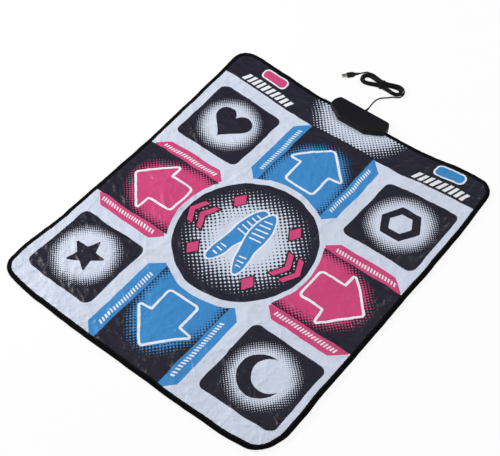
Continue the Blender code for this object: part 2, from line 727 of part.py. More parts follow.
def cord_notch_tool():
    """A round-topped slot through the lid's back wall for the strain relief."""
    half = RELIEF_GROOVE_RADIUS + LAYER_GAP
    angles = np.linspace(0, math.pi, ROUND_SEGMENTS // 2 + 1)
    arch = [(BOX_OFFSET + half * math.cos(a), CORD_EXIT_Z + half * math.sin(a)) for a in angles]
    section = arch + [(BOX_OFFSET - half, 0), (BOX_OFFSET + half, 0)]
    back = BOX_BACK[1]
    rings = [[(x, y, z) for x, z in section] for y in (back + LID_WALL, back - 2 * LID_WALL)]
    return add_cutter("cord_notch", ring_mesh("cord_notch", rings))


def build_box_screws():
    """Four pan-head screws, driven up from under the box."""
    bottom = head_bottom()
    shoulder = bottom + SCREW_HEAD_HEIGHT
    profile = [
        (0, shoulder + SCREW_LENGTH),
        (SCREW_SHANK_RADIUS * 0.6, shoulder + SCREW_LENGTH),
        (SCREW_SHANK_RADIUS, shoulder + SCREW_LENGTH - 2 * SCREW_SHANK_RADIUS),
        (SCREW_SHANK_RADIUS, shoulder),
        (SCREW_HEAD_RADIUS, shoulder),
        (SCREW_HEAD_RADIUS, bottom + SCREW_HEAD_HEIGHT / 2),
        (SCREW_HEAD_RADIUS * 0.7, bottom),
        (0, bottom),
    ]
    names = ("front_left", "front_right", "rear_left", "rear_right")
    for name, place in zip(names, screw_places()):
        turned(f"box_screw_{name}", profile, BRIGHT_STEEL, (*place, 0))


def build_board():
    """Circuit board with the film's tail clamped along its front edge."""
    front = board_front()
    centre = (BOX_OFFSET, front + BOARD_DEPTH / 2)
    holes = [circle(place, CLAMP_SCREW_RADIUS + SCREW_CLEARANCE, 12) for place in clamp_places()]
    edge = rounded_rectangle(centre, BOARD_WIDTH, BOARD_DEPTH, 0.001)
    flat_piece("circuit_board", [edge] + holes, BOARD_Z, BOARD_THICKNESS, BOARD_GREEN)
    clamp_y = clamp_places()[0][1]
    clamp_z = UPPER_FILM_Z + FILM_THICKNESS + LAYER_GAP
    bar = rounded_rectangle((BOX_OFFSET, clamp_y), CLAMP_WIDTH, CLAMP_DEPTH, 0.0015)
    flat_piece("clamp_bar", [bar] + holes, clamp_z, CLAMP_HEIGHT, WHITE_NYLON)
    head_z = clamp_z + CLAMP_HEIGHT + LAYER_GAP
    tip = LOWER_FILM_Z + 2 * LAYER_GAP
    profile = [
        (0, head_z + CLAMP_HEAD_HEIGHT),
        (CLAMP_HEAD_RADIUS * 0.7, head_z + CLAMP_HEAD_HEIGHT),
        (CLAMP_HEAD_RADIUS, head_z + CLAMP_HEAD_HEIGHT / 2),
        (CLAMP_HEAD_RADIUS, head_z),
        (CLAMP_SCREW_RADIUS, head_z),
        (CLAMP_SCREW_RADIUS, tip + CLAMP_SCREW_RADIUS),
        (0, tip),
    ]
    for name, place in zip(("left", "right"), clamp_places()):
        turned(f"clamp_screw_{name}", profile, BRIGHT_STEEL, (*place, 0), steps=12)


def build_components():
    """The chip under its blob of resin, the crystal and the capacitor."""
    seat = BOARD_TOP + LAYER_GAP
    row_y = board_front() + BOARD_DEPTH * 0.62
    angles = np.linspace(math.pi / 2, 0, 6)
    dome = [(CHIP_RADIUS * math.cos(a), seat + CHIP_HEIGHT * math.sin(a)) for a in angles]
    dome[0] = (0, seat + CHIP_HEIGHT)
    turned("chip_blob", dome + [(0, seat)], BLACK_EPOXY, (BOX_OFFSET + BOARD_WIDTH * 0.12, row_y, 0))
    crystal = rounded_rectangle(
        (BOX_OFFSET - BOARD_WIDTH * 0.2, row_y), CRYSTAL_LENGTH, CRYSTAL_WIDTH, CRYSTAL_WIDTH * 0.49
    )
    flat_piece("crystal", [crystal], seat, CRYSTAL_HEIGHT, BRIGHT_STEEL)
    can_top = seat + CAPACITOR_HEIGHT
    can = [
        (0, can_top - 0.0002),
        (CAPACITOR_RADIUS * 0.7, can_top - 0.0002),
        (CAPACITOR_RADIUS * 0.8, can_top),
        (CAPACITOR_RADIUS, can_top - 0.0004),
        (CAPACITOR_RADIUS, seat + 0.0012),
        (CAPACITOR_RADIUS * 0.9, seat + 0.0009),
        (CAPACITOR_RADIUS, seat + 0.0006),
        (CAPACITOR_RADIUS, seat),
        (0, seat),
    ]
    turned("capacitor", can, BLACK_EPOXY, (BOX_OFFSET + BOARD_WIDTH * 0.38, row_y, 0))


def build_strain_relief():
    """A grommet in the lid's back wall with a ribbed, tapered sleeve."""
    wall_inner = -LID_WALL
    flange = RELIEF_FLANGE_LENGTH
    tip = LAYER_GAP + flange + RELIEF_SLEEVE_LENGTH
    profile = [(0, tip), (RELIEF_TIP_RADIUS, tip)]
    for index in range(RELIEF_RIB_COUNT):
        share = (index + 0.5) / RELIEF_RIB_COUNT
        radius = RELIEF_TIP_RADIUS + (RELIEF_SLEEVE_RADIUS - RELIEF_TIP_RADIUS) * share
        middle = tip - RELIEF_SLEEVE_LENGTH * share
        quarter = RELIEF_SLEEVE_LENGTH / RELIEF_RIB_COUNT / 5
        profile += [(radius, middle + quarter), (radius - RELIEF_RIB_DEPTH, middle), (radius, middle - quarter)]
    profile += [
        (RELIEF_SLEEVE_RADIUS, LAYER_GAP + flange),
        (RELIEF_FLANGE_RADIUS, LAYER_GAP + flange),
        (RELIEF_FLANGE_RADIUS, LAYER_GAP),
        (RELIEF_GROOVE_RADIUS, LAYER_GAP),
        (RELIEF_GROOVE_RADIUS, wall_inner - LAYER_GAP),
        (RELIEF_FLANGE_RADIUS, wall_inner - LAYER_GAP),
        (RELIEF_FLANGE_RADIUS, wall_inner - LAYER_GAP - flange),
        (0, wall_inner - LAYER_GAP - flange),
    ]
    relief = turned("strain_relief", profile, BLACK_PVC)
    relief.location = (*BOX_BACK, CORD_EXIT_Z)
    relief.rotation_euler = (-math.pi / 2, 0, 0)


def smooth_route(points, spacing):
    """Points at an even spacing on a smooth curve through the route, whose two end pieces stay straight."""
    route = np.array(points, float)
    fine = []
    for a, b, c, d in zip(route, route[1:], route[2:], route[3:]):
        t = np.linspace(0, 1, 20, endpoint=False)[:, None]
        curve = 2 * b + (c - a) * t + (2 * a - 5 * b + 4 * c - d) * t**2 + (3 * b - 3 * c + d - a) * t**3
        fine.append(curve / 2)
    fine = np.vstack(fine + [route[-2:-1]])
    lengths = np.concatenate([[0], np.cumsum(np.linalg.norm(np.diff(fine, axis=0), axis=1))])
    count = max(2, round(lengths[-1] / spacing))
    wanted = np.linspace(0, lengths[-1], count + 1)
    middle = np.stack([np.interp(wanted, lengths, fine[:, axis]) for axis in range(3)], axis=1)
    return np.vstack([route[:1], middle, route[-1:]])


def hank_path(points_per_turn):
    """The hank's centre line: loops whose distance from the inner loop falls, then grows again."""
    swept = 2 * math.pi * HANK_WHOLE_TURNS + HANK_END_ANGLE - HANK_START_ANGLE
    turns = swept / (2 * math.pi)
    progress = np.linspace(0, turns, round(turns * points_per_turn) + 1)
    angle = HANK_START_ANGLE + 2 * math.pi * progress
    from_middle = progress - turns / 2
    width = HANK_WAIST + HANK_SWELL * np.cos(angle) ** 2
    x = HANK_HALF_LENGTH * np.cos(angle)
    y = np.sin(angle) * width
    slope_x = -HANK_HALF_LENGTH * np.sin(angle)
    slope_y = np.cos(angle) * width - 2 * HANK_SWELL * np.sin(angle) ** 2 * np.cos(angle)
    speed = np.hypot(slope_x, slope_y)
    spread = HANK_PITCH * np.abs(from_middle)
    x = x + spread * slope_y / speed
    y = y - spread * slope_x / speed
    climb = np.clip(from_middle / 0.5 + 0.5, 0, 1)
    z = HANK_LOW_Z + (HANK_HIGH_Z - HANK_LOW_Z) * climb**2 * (3 - 2 * climb)
    cosine, sine = math.cos(HANK_TILT), math.sin(HANK_TILT)
    world_x = BOX_BACK[0] + HANK_CENTRE[0] + x * cosine - y * sine
    world_y = BOX_BACK[1] + HANK_CENTRE[1] + x * sine + y * cosine
    return np.stack([world_x, world_y, z], axis=1)


def least_gap(points, diameter, skip):
    """Least distance between a path's surface and itself, past a number of neighbouring points."""
    least = math.inf
    for index in range(len(points) - skip):
        distance = np.linalg.norm(points[index + skip :] - points[index], axis=1).min()
        least = min(least, distance - diameter)
    return least


def build_cord():
    """The free lead from the box, the tied hank, and the short end that runs to the plug."""
    hank = hank_path(HANK_POINTS_PER_TURN)
    fine = hank_path(HANK_POINTS_PER_TURN * 8)
    print(f"hank's least gap to itself: {least_gap(fine, CORD_DIAMETER, 48) * 1000:.2f} mm")
    tube("cord_hank", hank, CORD_RADIUS, BLACK_PVC, 1)
    exit_y = BOX_BACK[1] + LAYER_GAP + RELIEF_FLANGE_LENGTH + RELIEF_SLEEVE_LENGTH
    start = np.array([BOX_OFFSET, exit_y + LAYER_GAP, CORD_EXIT_Z])
    into_hank = (hank[1] - hank[0]) / np.linalg.norm(hank[1] - hank[0])
    floor = CORD_RADIUS + LAYER_GAP
    middle = np.array([
        (-0.0020, 0.028, 0.0096),
        (-0.0046, 0.038, 0.0056),
        (-0.0064, 0.048, 0.0030),
        (-0.0066, 0.058, floor),
        (-0.0046, 0.067, floor),
        (-0.0005, 0.075, floor),
        (0.0055, 0.0815, floor),
        (0.0130, 0.087, 0.0030),
    ])
    route = [start, start + (0, CORD_DIAMETER, 0)]
    route += list(middle + (*BOX_BACK, 0))
    route += [hank[0] - into_hank * (CORD_DIAMETER + LAYER_GAP), hank[0] - into_hank * LAYER_GAP]
    tube("cord", smooth_route(route, 2.2 * CORD_DIAMETER), CORD_RADIUS, BLACK_PVC)
    out_of_hank = (hank[-1] - hank[-2]) / np.linalg.norm(hank[-1] - hank[-2])
    heading = np.array([math.cos(PLUG_HEADING), math.sin(PLUG_HEADING), 0])
    neck = np.array([*plug_point(), plug_middle_z()])
    lead = [
        hank[-1] + out_of_hank * LAYER_GAP,
        hank[-1] + out_of_hank * CORD_DIAMETER,
        neck - heading * (CORD_DIAMETER + LAYER_GAP),
        neck - heading * LAYER_GAP,
    ]
    tube("cord_lead", smooth_route(lead, 1.5 * CORD_DIAMETER), CORD_RADIUS, BLACK_PVC)


def build_inner_lead():
    """The cord's end inside the box, from the strain relief down to the board."""
    inner = BOX_BACK[1] - LID_WALL - 2 * LAYER_GAP - RELIEF_FLANGE_LENGTH
    lie = BOARD_TOP + LAYER_GAP + CORD_RADIUS
    end = board_front() + BOARD_DEPTH - 2 * CORD_DIAMETER
    drop = CORD_EXIT_Z - lie
    route = [
        (BOX_OFFSET, inner, CORD_EXIT_Z),
        (BOX_OFFSET, inner - CORD_DIAMETER, CORD_EXIT_Z),
        (BOX_OFFSET, (inner + end) / 2 + CORD_DIAMETER, lie + drop * 0.4),
        (BOX_OFFSET, end + CORD_DIAMETER, lie),
        (BOX_OFFSET, end, lie),
    ]
    tube("inner_lead", smooth_route(route, CORD_DIAMETER), CORD_RADIUS, BLACK_PVC)


def build_tie():
    """A flat band round the hank's waist, standing across it."""
    turns = HANK_WHOLE_TURNS + (HANK_END_ANGLE - HANK_START_ANGLE) / (2 * math.pi)
    upper_side = (HANK_END_ANGLE - math.pi / 2) / (2 * math.pi)
    lower_side = upper_side + 0.5
    reach = HANK_WAIST + CORD_RADIUS + TIE_CLEARANCE
    top = reach + HANK_PITCH * (turns / 2 - upper_side)
    bottom = -reach - HANK_PITCH * (turns / 2 - lower_side)
    low = HANK_LOW_Z - CORD_RADIUS - TIE_CLEARANCE
    high = HANK_HIGH_Z + CORD_RADIUS + TIE_CLEARANCE
    centre = ((top + bottom) / 2, (low + high) / 2)
    size = (top - bottom, high - low)
    inner = rounded_rectangle(centre, *size, CORD_RADIUS)
    outer = rounded_rectangle(centre, *size, CORD_RADIUS, TIE_THICKNESS)
    tie = flat_piece("cord_tie", [outer, inner], 0, TIE_WIDTH, BLACK_PVC)
    along = Vector((math.cos(HANK_TILT), math.sin(HANK_TILT), 0))
    place = Vector((BOX_BACK[0] + HANK_CENTRE[0], BOX_BACK[1] + HANK_CENTRE[1], 0))
    tie.matrix_world = standing(place, along)


def plug_middle_z():
    return PLUG_HEIGHT / 2 + LAYER_GAP / 2


def plug_point():
    return BOX_BACK[0] + PLUG_POINT[0], BOX_BACK[1] + PLUG_POINT[1]


def standing(place, along):
    """Matrix that stands an outline drawn in XY upright, so that its thickness runs along a level line."""
    across = Vector((-along.y, along.x, 0))
    turn = Matrix((across, Vector((0, 0, 1)), along)).transposed().to_4x4()
    return Matrix.Translation(place) @ turn


def place_along_plug(item, distance):
    along = Vector((math.cos(PLUG_HEADING), math.sin(PLUG_HEADING), 0))
    start = Vector((*plug_point(), plug_middle_z()))
    item.matrix_world = standing(start + along * distance, along)


def build_plug():
    """Overmoulded USB plug: body with a tapered neck, folded metal shell and contact tongue."""
    stations = [
        (0.0, 2 * PLUG_NECK_RADIUS, 2 * PLUG_NECK_RADIUS),
        (PLUG_NECK_LENGTH, 3.2 * PLUG_NECK_RADIUS, 2.5 * PLUG_NECK_RADIUS),
        (PLUG_NECK_LENGTH + 0.003, PLUG_WIDTH * 0.86, PLUG_HEIGHT * 0.9),
        (PLUG_NECK_LENGTH + 0.007, PLUG_WIDTH, PLUG_HEIGHT),
        (PLUG_NECK_LENGTH + PLUG_BODY_LENGTH - 0.001, PLUG_WIDTH, PLUG_HEIGHT),
        (PLUG_NECK_LENGTH + PLUG_BODY_LENGTH, PLUG_WIDTH - 0.0012, PLUG_HEIGHT - 0.0012),
    ]
    rings = []
    for distance, width, height in stations:
        radius = min(width, height) / 2 - 0.0001
        corner = radius if distance <= PLUG_NECK_LENGTH else radius * 0.6
        rings.append(lift(rounded_rectangle((0, 0), width, height, corner), distance))
    body = add_object("plug_body", ring_mesh("plug_body", rings), BLACK_PVC)
    shade_round(body)
    place_along_plug(body, 0)
    face = PLUG_NECK_LENGTH + PLUG_BODY_LENGTH + LAYER_GAP
    outer = rounded_rectangle((0, 0), SHELL_WIDTH, SHELL_HEIGHT, 0.0006)
    inner = rounded_rectangle((0, 0), SHELL_WIDTH, SHELL_HEIGHT, 0.0006, -SHELL_WALL)
    shell = add_object("plug_shell", prism_mesh("plug_shell", outer, 0, SHELL_LENGTH), NICKEL)
    place_along_plug(shell, face)
    bore = add_cutter("shell_bore", prism_mesh("shell_bore", inner, -SHELL_WALL, SHELL_LENGTH + SHELL_WALL))
    place_along_plug(bore, face)
    boolean(shell, bore, "DIFFERENCE")
    hole_middle = SHELL_LENGTH - SHELL_HOLE_FROM_TIP
    for side in (-1, 1):
        x = side * SHELL_HOLE_SPREAD / 2
        column = rectangle(x, 0, SHELL_HOLE_SIZE, 2 * SHELL_HEIGHT)
        low, high = hole_middle - SHELL_HOLE_SIZE / 2, hole_middle + SHELL_HOLE_SIZE / 2
        name = f"shell_holes_{'left' if side < 0 else 'right'}"
        holes = add_cutter(name, prism_mesh(name, column, low, high))
        place_along_plug(holes, face)
        boolean(shell, holes, "DIFFERENCE")
    tongue_length = SHELL_LENGTH - TONGUE_RECESS
    low = -SHELL_HEIGHT / 2 + SHELL_WALL + LAYER_GAP + TONGUE_HEIGHT / 2
    section = rounded_rectangle((0, low), TONGUE_WIDTH, TONGUE_HEIGHT, 0.0002)
    tongue = flat_piece("plug_tongue", [section], 0, tongue_length, WHITE_NYLON)
    place_along_plug(tongue, face + tongue_length / 2)


def build():
    start_scene()
    pads = pad_list()
    build_sheets(pads)
    build_pads(pads)
    build_binding()
    build_base()
    build_lid()
    build_box_screws()
    build_board()
    build_components()
    build_strain_relief()
    build_inner_lead()
    build_cord()
    build_tie()
    build_plug()


build()
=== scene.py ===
import math

import bpy
import numpy as np
from mathutils import Matrix, Vector
from mathutils.geometry import delaunay_2d_cdt


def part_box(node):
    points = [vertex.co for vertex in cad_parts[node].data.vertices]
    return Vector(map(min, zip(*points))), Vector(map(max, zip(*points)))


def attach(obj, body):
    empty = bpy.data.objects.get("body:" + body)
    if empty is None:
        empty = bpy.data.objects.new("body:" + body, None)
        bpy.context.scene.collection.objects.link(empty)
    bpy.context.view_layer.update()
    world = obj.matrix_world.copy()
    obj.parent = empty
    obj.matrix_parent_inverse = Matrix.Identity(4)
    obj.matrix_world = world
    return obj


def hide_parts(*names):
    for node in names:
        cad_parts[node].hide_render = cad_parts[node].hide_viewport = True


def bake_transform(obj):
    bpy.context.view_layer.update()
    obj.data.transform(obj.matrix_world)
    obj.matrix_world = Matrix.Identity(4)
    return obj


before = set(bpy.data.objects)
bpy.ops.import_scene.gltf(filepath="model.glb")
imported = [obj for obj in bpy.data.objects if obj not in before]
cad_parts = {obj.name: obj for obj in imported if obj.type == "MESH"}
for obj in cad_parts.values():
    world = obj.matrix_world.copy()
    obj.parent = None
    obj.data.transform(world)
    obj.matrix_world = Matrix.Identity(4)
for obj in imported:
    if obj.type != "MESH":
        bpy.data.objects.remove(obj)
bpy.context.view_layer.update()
mm = 0.001


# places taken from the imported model

def cadBoxOf(node):
    return np.array([list(corner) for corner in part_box(node)])


def printBoxOf(node):
    # a node's box in the print's plane: metres from the middle of the print
    return cadBoxOf(node)[:, :2] - printCentre


def printMiddleOf(node):
    return cadBoxOf(node).mean(axis=0)[:2] - printCentre


cornerPads = ["corner_back_left_pad", "corner_back_right_pad", "corner_front_left_pad", "corner_front_right_pad"]
arrowPads = ["arrow_up_pad", "arrow_left_pad", "arrow_down_pad", "arrow_right_pad"]  # each a quarter turn on
menuPads = ["menu_left_pad", "menu_right_pad"]
printCentre = np.mean([cadBoxOf(pad).mean(axis=0)[:2] for pad in cornerPads], axis=0)
matLow, matHigh = printBoxOf("edge_binding")
coverUnder, coverTop = cadBoxOf("top_cover")[:, 2]
foamUnder = cadBoxOf("cushion_foam")[0, 2]
lidLow, lidHigh = cadBoxOf("box_lid")
boxBack = np.array([(lidLow[0] + lidHigh[0]) / 2, lidHigh[1]])


# general tools

def srgb(code):
    # "#rrggbb" to the linear colour that the shaders work in
    values = np.array([int(code[i:i + 2], 16) for i in (1, 3, 5)]) / 255
    linear = np.where(values <= 0.04045, values / 12.92, ((values + 0.055) / 1.055) ** 2.4)
    return (*linear.tolist(), 1.0)


def feed(tree, node, inputs):
    # an input is a value, or what to link: a socket, or a node for its first output
    for key, value in inputs.items():
        if isinstance(value, bpy.types.Node):
            value = value.outputs[0]
        if isinstance(value, bpy.types.NodeSocket):
            tree.links.new(value, node.inputs[key])
        else:
            node.inputs[key].default_value = value


def addNode(tree, kind, inputs=None, **settings):
    # one node of a kind, with its settings and its inputs
    node = tree.nodes.new("ShaderNode" + kind)
    for field, value in settings.items():
        setattr(node, field, value)
    feed(tree, node, inputs or {})
    return node


def newMaterial(name, shaderInputs):
    # a material with its Principled shader set
    material = bpy.data.materials.new(name)
    material.use_nodes = True
    tree = material.node_tree
    shader = tree.nodes["Principled BSDF"]
    feed(tree, shader, shaderInputs)
    return material, tree, shader


def newPiece(name, points, faces, materials, smooth=True):
    mesh = bpy.data.meshes.new(name)
    mesh.from_pydata(points, [], faces)
    mesh.polygons.foreach_set("use_smooth", np.full(len(mesh.polygons), smooth))
    for material in materials:
        mesh.materials.append(material)
    mesh.update()
    piece = bpy.data.objects.new(name, mesh)
    bpy.context.scene.collection.objects.link(piece)
    return piece


def units(vectors):
    return vectors / np.linalg.norm(vectors, axis=1)[:, None]


def smoothstep(low, high, value):
    share = np.clip((value - low) / (high - low), 0, 1)
    return share * share * (3 - 2 * share)


def noiseOf(tree, place, size, detail=2.0):
    return addNode(tree, "TexNoise", {"Vector": place, "Scale": 1 / size, "Detail": detail})


def ranged(tree, value, low, high, start=0.3, end=0.7):
    # a value between start and end, moved to between low and high
    ends = {"From Min": start, "From Max": end, "To Min": low, "To Max": high}
    return addNode(tree, "MapRange", {"Value": value, **ends})


def layeredBump(tree, shader, *layers):
    # bumps laid one over another, each a height, a strength and a distance
    under = {}
    for height, strength, distance in layers:
        bump = addNode(tree, "Bump", {"Height": height, "Strength": strength, "Distance": distance, **under})
        under = {"Normal": bump}
    feed(tree, shader, under)


def finish(name, colour, roughness, cloud, vary, grain, relief, metallic=0.0, ior=1.5, specular=0.5, stretch=(1, 1, 1)):
    # a finish of one colour that clouds in tone and gloss over a larger size (mm), varying by a share, with a fine
    # grain (mm) of a relief in its surface; stretch draws the grain out along an axis, as rolling and extruding do
    material, tree, shader = newMaterial(name, {"Metallic": metallic, "IOR": ior, "Specular IOR Level": specular})
    place = addNode(tree, "TexCoord").outputs["Object"]
    clouds = noiseOf(tree, place, cloud * mm, 3.0)
    toned = addNode(tree, "VectorMath", {0: srgb(colour)[:3], "Scale": ranged(tree, clouds, 1 - vary, 1 + vary)},
                    operation="SCALE")
    gloss = ranged(tree, clouds, roughness * 1.15, roughness * 0.88)
    feed(tree, shader, {"Base Color": toned, "Roughness": gloss})
    drawn = addNode(tree, "VectorMath", {0: place, 1: stretch}, operation="MULTIPLY")
    layeredBump(tree, shader, (noiseOf(tree, drawn.outputs[0], grain * mm), relief, grain * mm * 0.3))
    return material


# camera: fitted to the mat's corners, pads and disc as the photograph shows them

cameraLook = {"place": (1.0524, -1.2899, 2.1961), "forward": (-0.38420, 0.47927, -0.78911),
              "up": (-0.49161, 0.61726, 0.61425), "focalPixels": 1145.39, "imageWidth": 500, "sensor": 36.0}
cameraData = bpy.data.cameras.new("camera")
cameraData.sensor_fit = "HORIZONTAL"
cameraData.sensor_width = cameraLook["sensor"]
cameraData.lens = cameraLook["focalPixels"] / cameraLook["imageWidth"] * cameraLook["sensor"]
camera = bpy.data.objects.new("camera", cameraData)
back = -Vector(cameraLook["forward"]).normalized()
right = Vector(cameraLook["up"]).cross(back).normalized()
turn = Matrix((right, back.cross(right), back)).transposed().to_4x4()
camera.matrix_world = Matrix.Translation(Vector(cameraLook["place"]) + Vector((*printCentre, 0))) @ turn
bpy.context.scene.collection.objects.link(camera)
bpy.context.scene.camera = camera
print("camera set")


# floor, backdrop and light

# worldRise: how far up (Z of the direction) the world starts and stops getting brighter; lamps: place (m), power (W)
# and size (m), each aimed at the middle of the floor
stageLook = {"size": 12.0, "white": "#ffffff", "whiteShare": 0.88, "worldStrength": (0.12, 0.58),
             "worldRise": (0.45, 0.95),
             "lamps": {"keySoftbox": ((-2.6, -0.7, 2.0), 78.0, 1.4), "fillSoftbox": ((1.4, 2.1, 2.6), 33.0, 1.4)}}


def seenBy(tree, *rays):
    # 1 for rays of the two kinds, and 0 for others
    path = addNode(tree, "LightPath")
    sockets = {index: path.outputs[f"Is {ray} Ray"] for index, ray in enumerate(rays)}
    return addNode(tree, "Math", sockets, operation="MAXIMUM")


def buildStage():
    # a plain white floor, which the camera and mirrors see as nearly pure white, with soft shadows kept
    look, white = stageLook, srgb(stageLook["white"])
    material, tree, shader = newMaterial("whitePaperBackdrop", {"Roughness": 0.9, "Base Color": white})
    share = addNode(tree, "Math", {0: seenBy(tree, "Camera", "Glossy"), 1: look["whiteShare"]}, operation="MULTIPLY")
    glow = addNode(tree, "Emission", {"Color": white, "Strength": 1.0})
    mix = addNode(tree, "MixShader", {0: share, 1: shader, 2: glow})
    feed(tree, tree.nodes["Material Output"], {"Surface": mix})
    half = look["size"] / 2
    corners = [(-half, -half, 0), (half, -half, 0), (half, half, 0), (-half, half, 0)]
    floor = newPiece("floor", corners, [(0, 1, 2, 3)], [material], False)
    world = bpy.data.worlds.new("paleStudio")
    world.use_nodes = True
    bpy.context.scene.world = world
    tree = world.node_tree
    # the studio is brighter overhead than near the floor, so that creases in glossy vinyl show, and so it is from below
    direction = addNode(tree, "SeparateXYZ", {0: addNode(tree, "TexCoord").outputs["Generated"]})
    steepness = addNode(tree, "Math", {0: direction.outputs["Z"]}, operation="ABSOLUTE")
    sky = ranged(tree, steepness, *look["worldStrength"], *look["worldRise"])
    sky.interpolation_type = "SMOOTHSTEP"
    strength = addNode(tree, "Math", {0: sky, 1: seenBy(tree, "Camera", "Transmission")}, operation="MAXIMUM")
    feed(tree, tree.nodes["Background"], {"Strength": strength, "Color": white})
    for name, (place, power, size) in look["lamps"].items():
        light = bpy.data.lights.new(name, "AREA")
        light.energy = power
        light.size = size
        lamp = bpy.data.objects.new(name, light)
        aim = (-Vector(place)).to_track_quat("-Z", "Y").to_matrix().to_4x4()
        lamp.matrix_world = Matrix.Translation(Vector(place)) @ aim
        bpy.context.scene.collection.objects.link(lamp)


buildStage()
bpy.context.scene.view_settings.view_transform = "Standard"
print("stage and lights set")


# the lead: from the strain relief to the hank, round it, and on to the plug

cordLook = {"diameter": 4.0 * mm, "sides": 14, "floorGap": 0.3 * mm, "tieWall": 0.8 * mm, "tieGap": 0.4 * mm,
            "hankCentre": (-0.024, 0.115), "hankTilt": math.radians(6), "halfLength": 0.0525, "waist": 0.0006,
            "swell": 0.0225, "pitch": 0.0046, "loose": 0.0032, "startAngle": math.radians(-31),
            "endAngle": math.radians(155), "wholeTurns": 5, "pointsPerTurn": 24, "plugPoint": (-0.098, 0.114),
            "plugHeading": math.radians(230), "plugHeight": 0.0084, "straight": 0.0043, "inPlug": 0.001,
            "besideHank": 0.0003, "freeSpacing": 0.0032, "leadSpacing": 0.0035, "ringSpacing": 0.0014,
            # the free lead's way from the box's back edge: x, y and height, which is None where it lies on the floor
            "route": [(-0.0020, 0.028, 0.0096), (-0.0046, 0.038, 0.0056), (-0.0064, 0.048, 0.0030),
                      (-0.0066, 0.058, None), (-0.0046, 0.067, None), (-0.0005, 0.075, None),
                      (0.0055, 0.0815, None), (0.0130, 0.087, 0.0030)]}


def unit(vector):
    return vector / np.linalg.norm(vector)


def distancesAlong(path):
    return np.concatenate([[0], np.cumsum(np.linalg.norm(np.diff(path, axis=0), axis=1))])


def evenly(path, spacing):
    # a path at an even spacing, and how far along it each point lies
    lengths = distancesAlong(path)
    wanted = np.linspace(0, lengths[-1], max(2, round(lengths[-1] / spacing)) + 1)
    return np.stack([np.interp(wanted, lengths, values) for values in path.T], axis=1), wanted


def smoothRoute(route, spacing):
    # Catmull-Rom curves through the route, whose two end pieces stay straight, at an even spacing
    route = np.array(route, float)
    t = np.linspace(0, 1, 24, endpoint=False)[None, :, None]
    a, b, c, d = (route[start:len(route) - 3 + start, None, :] for start in range(4))
    fine = (2 * b + (c - a) * t + (2 * a - 5 * b + 4 * c - d) * t**2 + (3 * b - 3 * c + d - a) * t**3) / 2
    return evenly(np.vstack([route[:1], fine.reshape(-1, 3), route[-2:]]), spacing)[0]


def hankPath(look):
    # loops drawn in at the waist: x = half length * cos, y = sin * (waist + swell * cos squared), moved outwards by
    # the pitch times the turns from the middle one, and up by a pitch on the way out
    turns = look["wholeTurns"] + (look["endAngle"] - look["startAngle"]) / (2 * math.pi)
    progress = np.linspace(0, turns, round(turns * look["pointsPerTurn"]) + 1)
    angle = look["startAngle"] + 2 * math.pi * progress
    fromMiddle = progress - turns / 2
    width = look["waist"] + look["swell"] * np.cos(angle) ** 2
    x, y = look["halfLength"] * np.cos(angle), np.sin(angle) * width
    slopeX = -look["halfLength"] * np.sin(angle)
    slopeY = np.cos(angle) * width - 2 * look["swell"] * np.sin(angle) ** 2 * np.cos(angle)
    spread = look["pitch"] * np.abs(fromMiddle)
    # the lower strands of the right-hand loop lie loose, a little inside the upper ones
    spread -= look["loose"] * smoothstep(0.2, 0.9, np.cos(angle)) * smoothstep(0.0, -0.5, fromMiddle) * smoothstep(
        turns / 2 - 0.1, turns / 2 - 0.9, -fromMiddle)
    spread /= np.hypot(slopeX, slopeY)
    x, y = x + spread * slopeY, y - spread * slopeX
    lowest = look["floorGap"] + look["tieWall"] + look["tieGap"] + look["diameter"] / 2
    z = lowest + look["pitch"] * smoothstep(-0.25, 0.25, fromMiddle)
    cosine, sine = math.cos(look["hankTilt"]), math.sin(look["hankTilt"])
    place = boxBack + look["hankCentre"]
    return np.stack([place[0] + x * cosine - y * sine, place[1] + x * sine + y * cosine, z], axis=1)


def leadPath(look):
    # the whole centre line: down from the strain relief to the floor, into the hank, and out of it to the plug
    relief = cadBoxOf("strain_relief")
    cordExit = np.array([boxBack[0], relief[1, 1] + look["floorGap"], relief[:, 2].mean()])
    hank = hankPath(look)
    into, out = unit(hank[1] - hank[0]), unit(hank[-1] - hank[-2])
    floor = look["diameter"] / 2 + look["floorGap"]
    free = [cordExit, cordExit + (0, look["diameter"], 0)]
    free += [np.array([boxBack[0] + x, boxBack[1] + y, z or floor]) for x, y, z in look["route"]]
    free += [hank[0] - into * look["straight"], hank[0] - into * look["besideHank"]]
    heading = np.array([math.cos(look["plugHeading"]), math.sin(look["plugHeading"]), 0])
    neck = np.array([*(boxBack + look["plugPoint"]), look["plugHeight"] / 2 + look["floorGap"] / 2])
    lead = [hank[-1] + out * look["besideHank"], hank[-1] + out * look["diameter"], neck - heading * look["straight"],
            neck + heading * look["inPlug"]]
    before, after = smoothRoute(free, look["freeSpacing"]), smoothRoute(lead, look["leadSpacing"])
    return cordExit, np.vstack([before[:-1], hank, after[1:]])


def gridFaces(rows, columns, wrapped):
    # quads between the rows of a grid of points, closed round each row where it is wrapped
    row, column = np.meshgrid(np.arange(rows - 1), np.arange(columns if wrapped else columns - 1), indexing="ij")
    after = (column + 1) % columns
    quads = [row * columns + column, row * columns + after, (row + 1) * columns + after, (row + 1) * columns + column]
    return np.stack(quads, axis=-1).reshape(-1, 4)


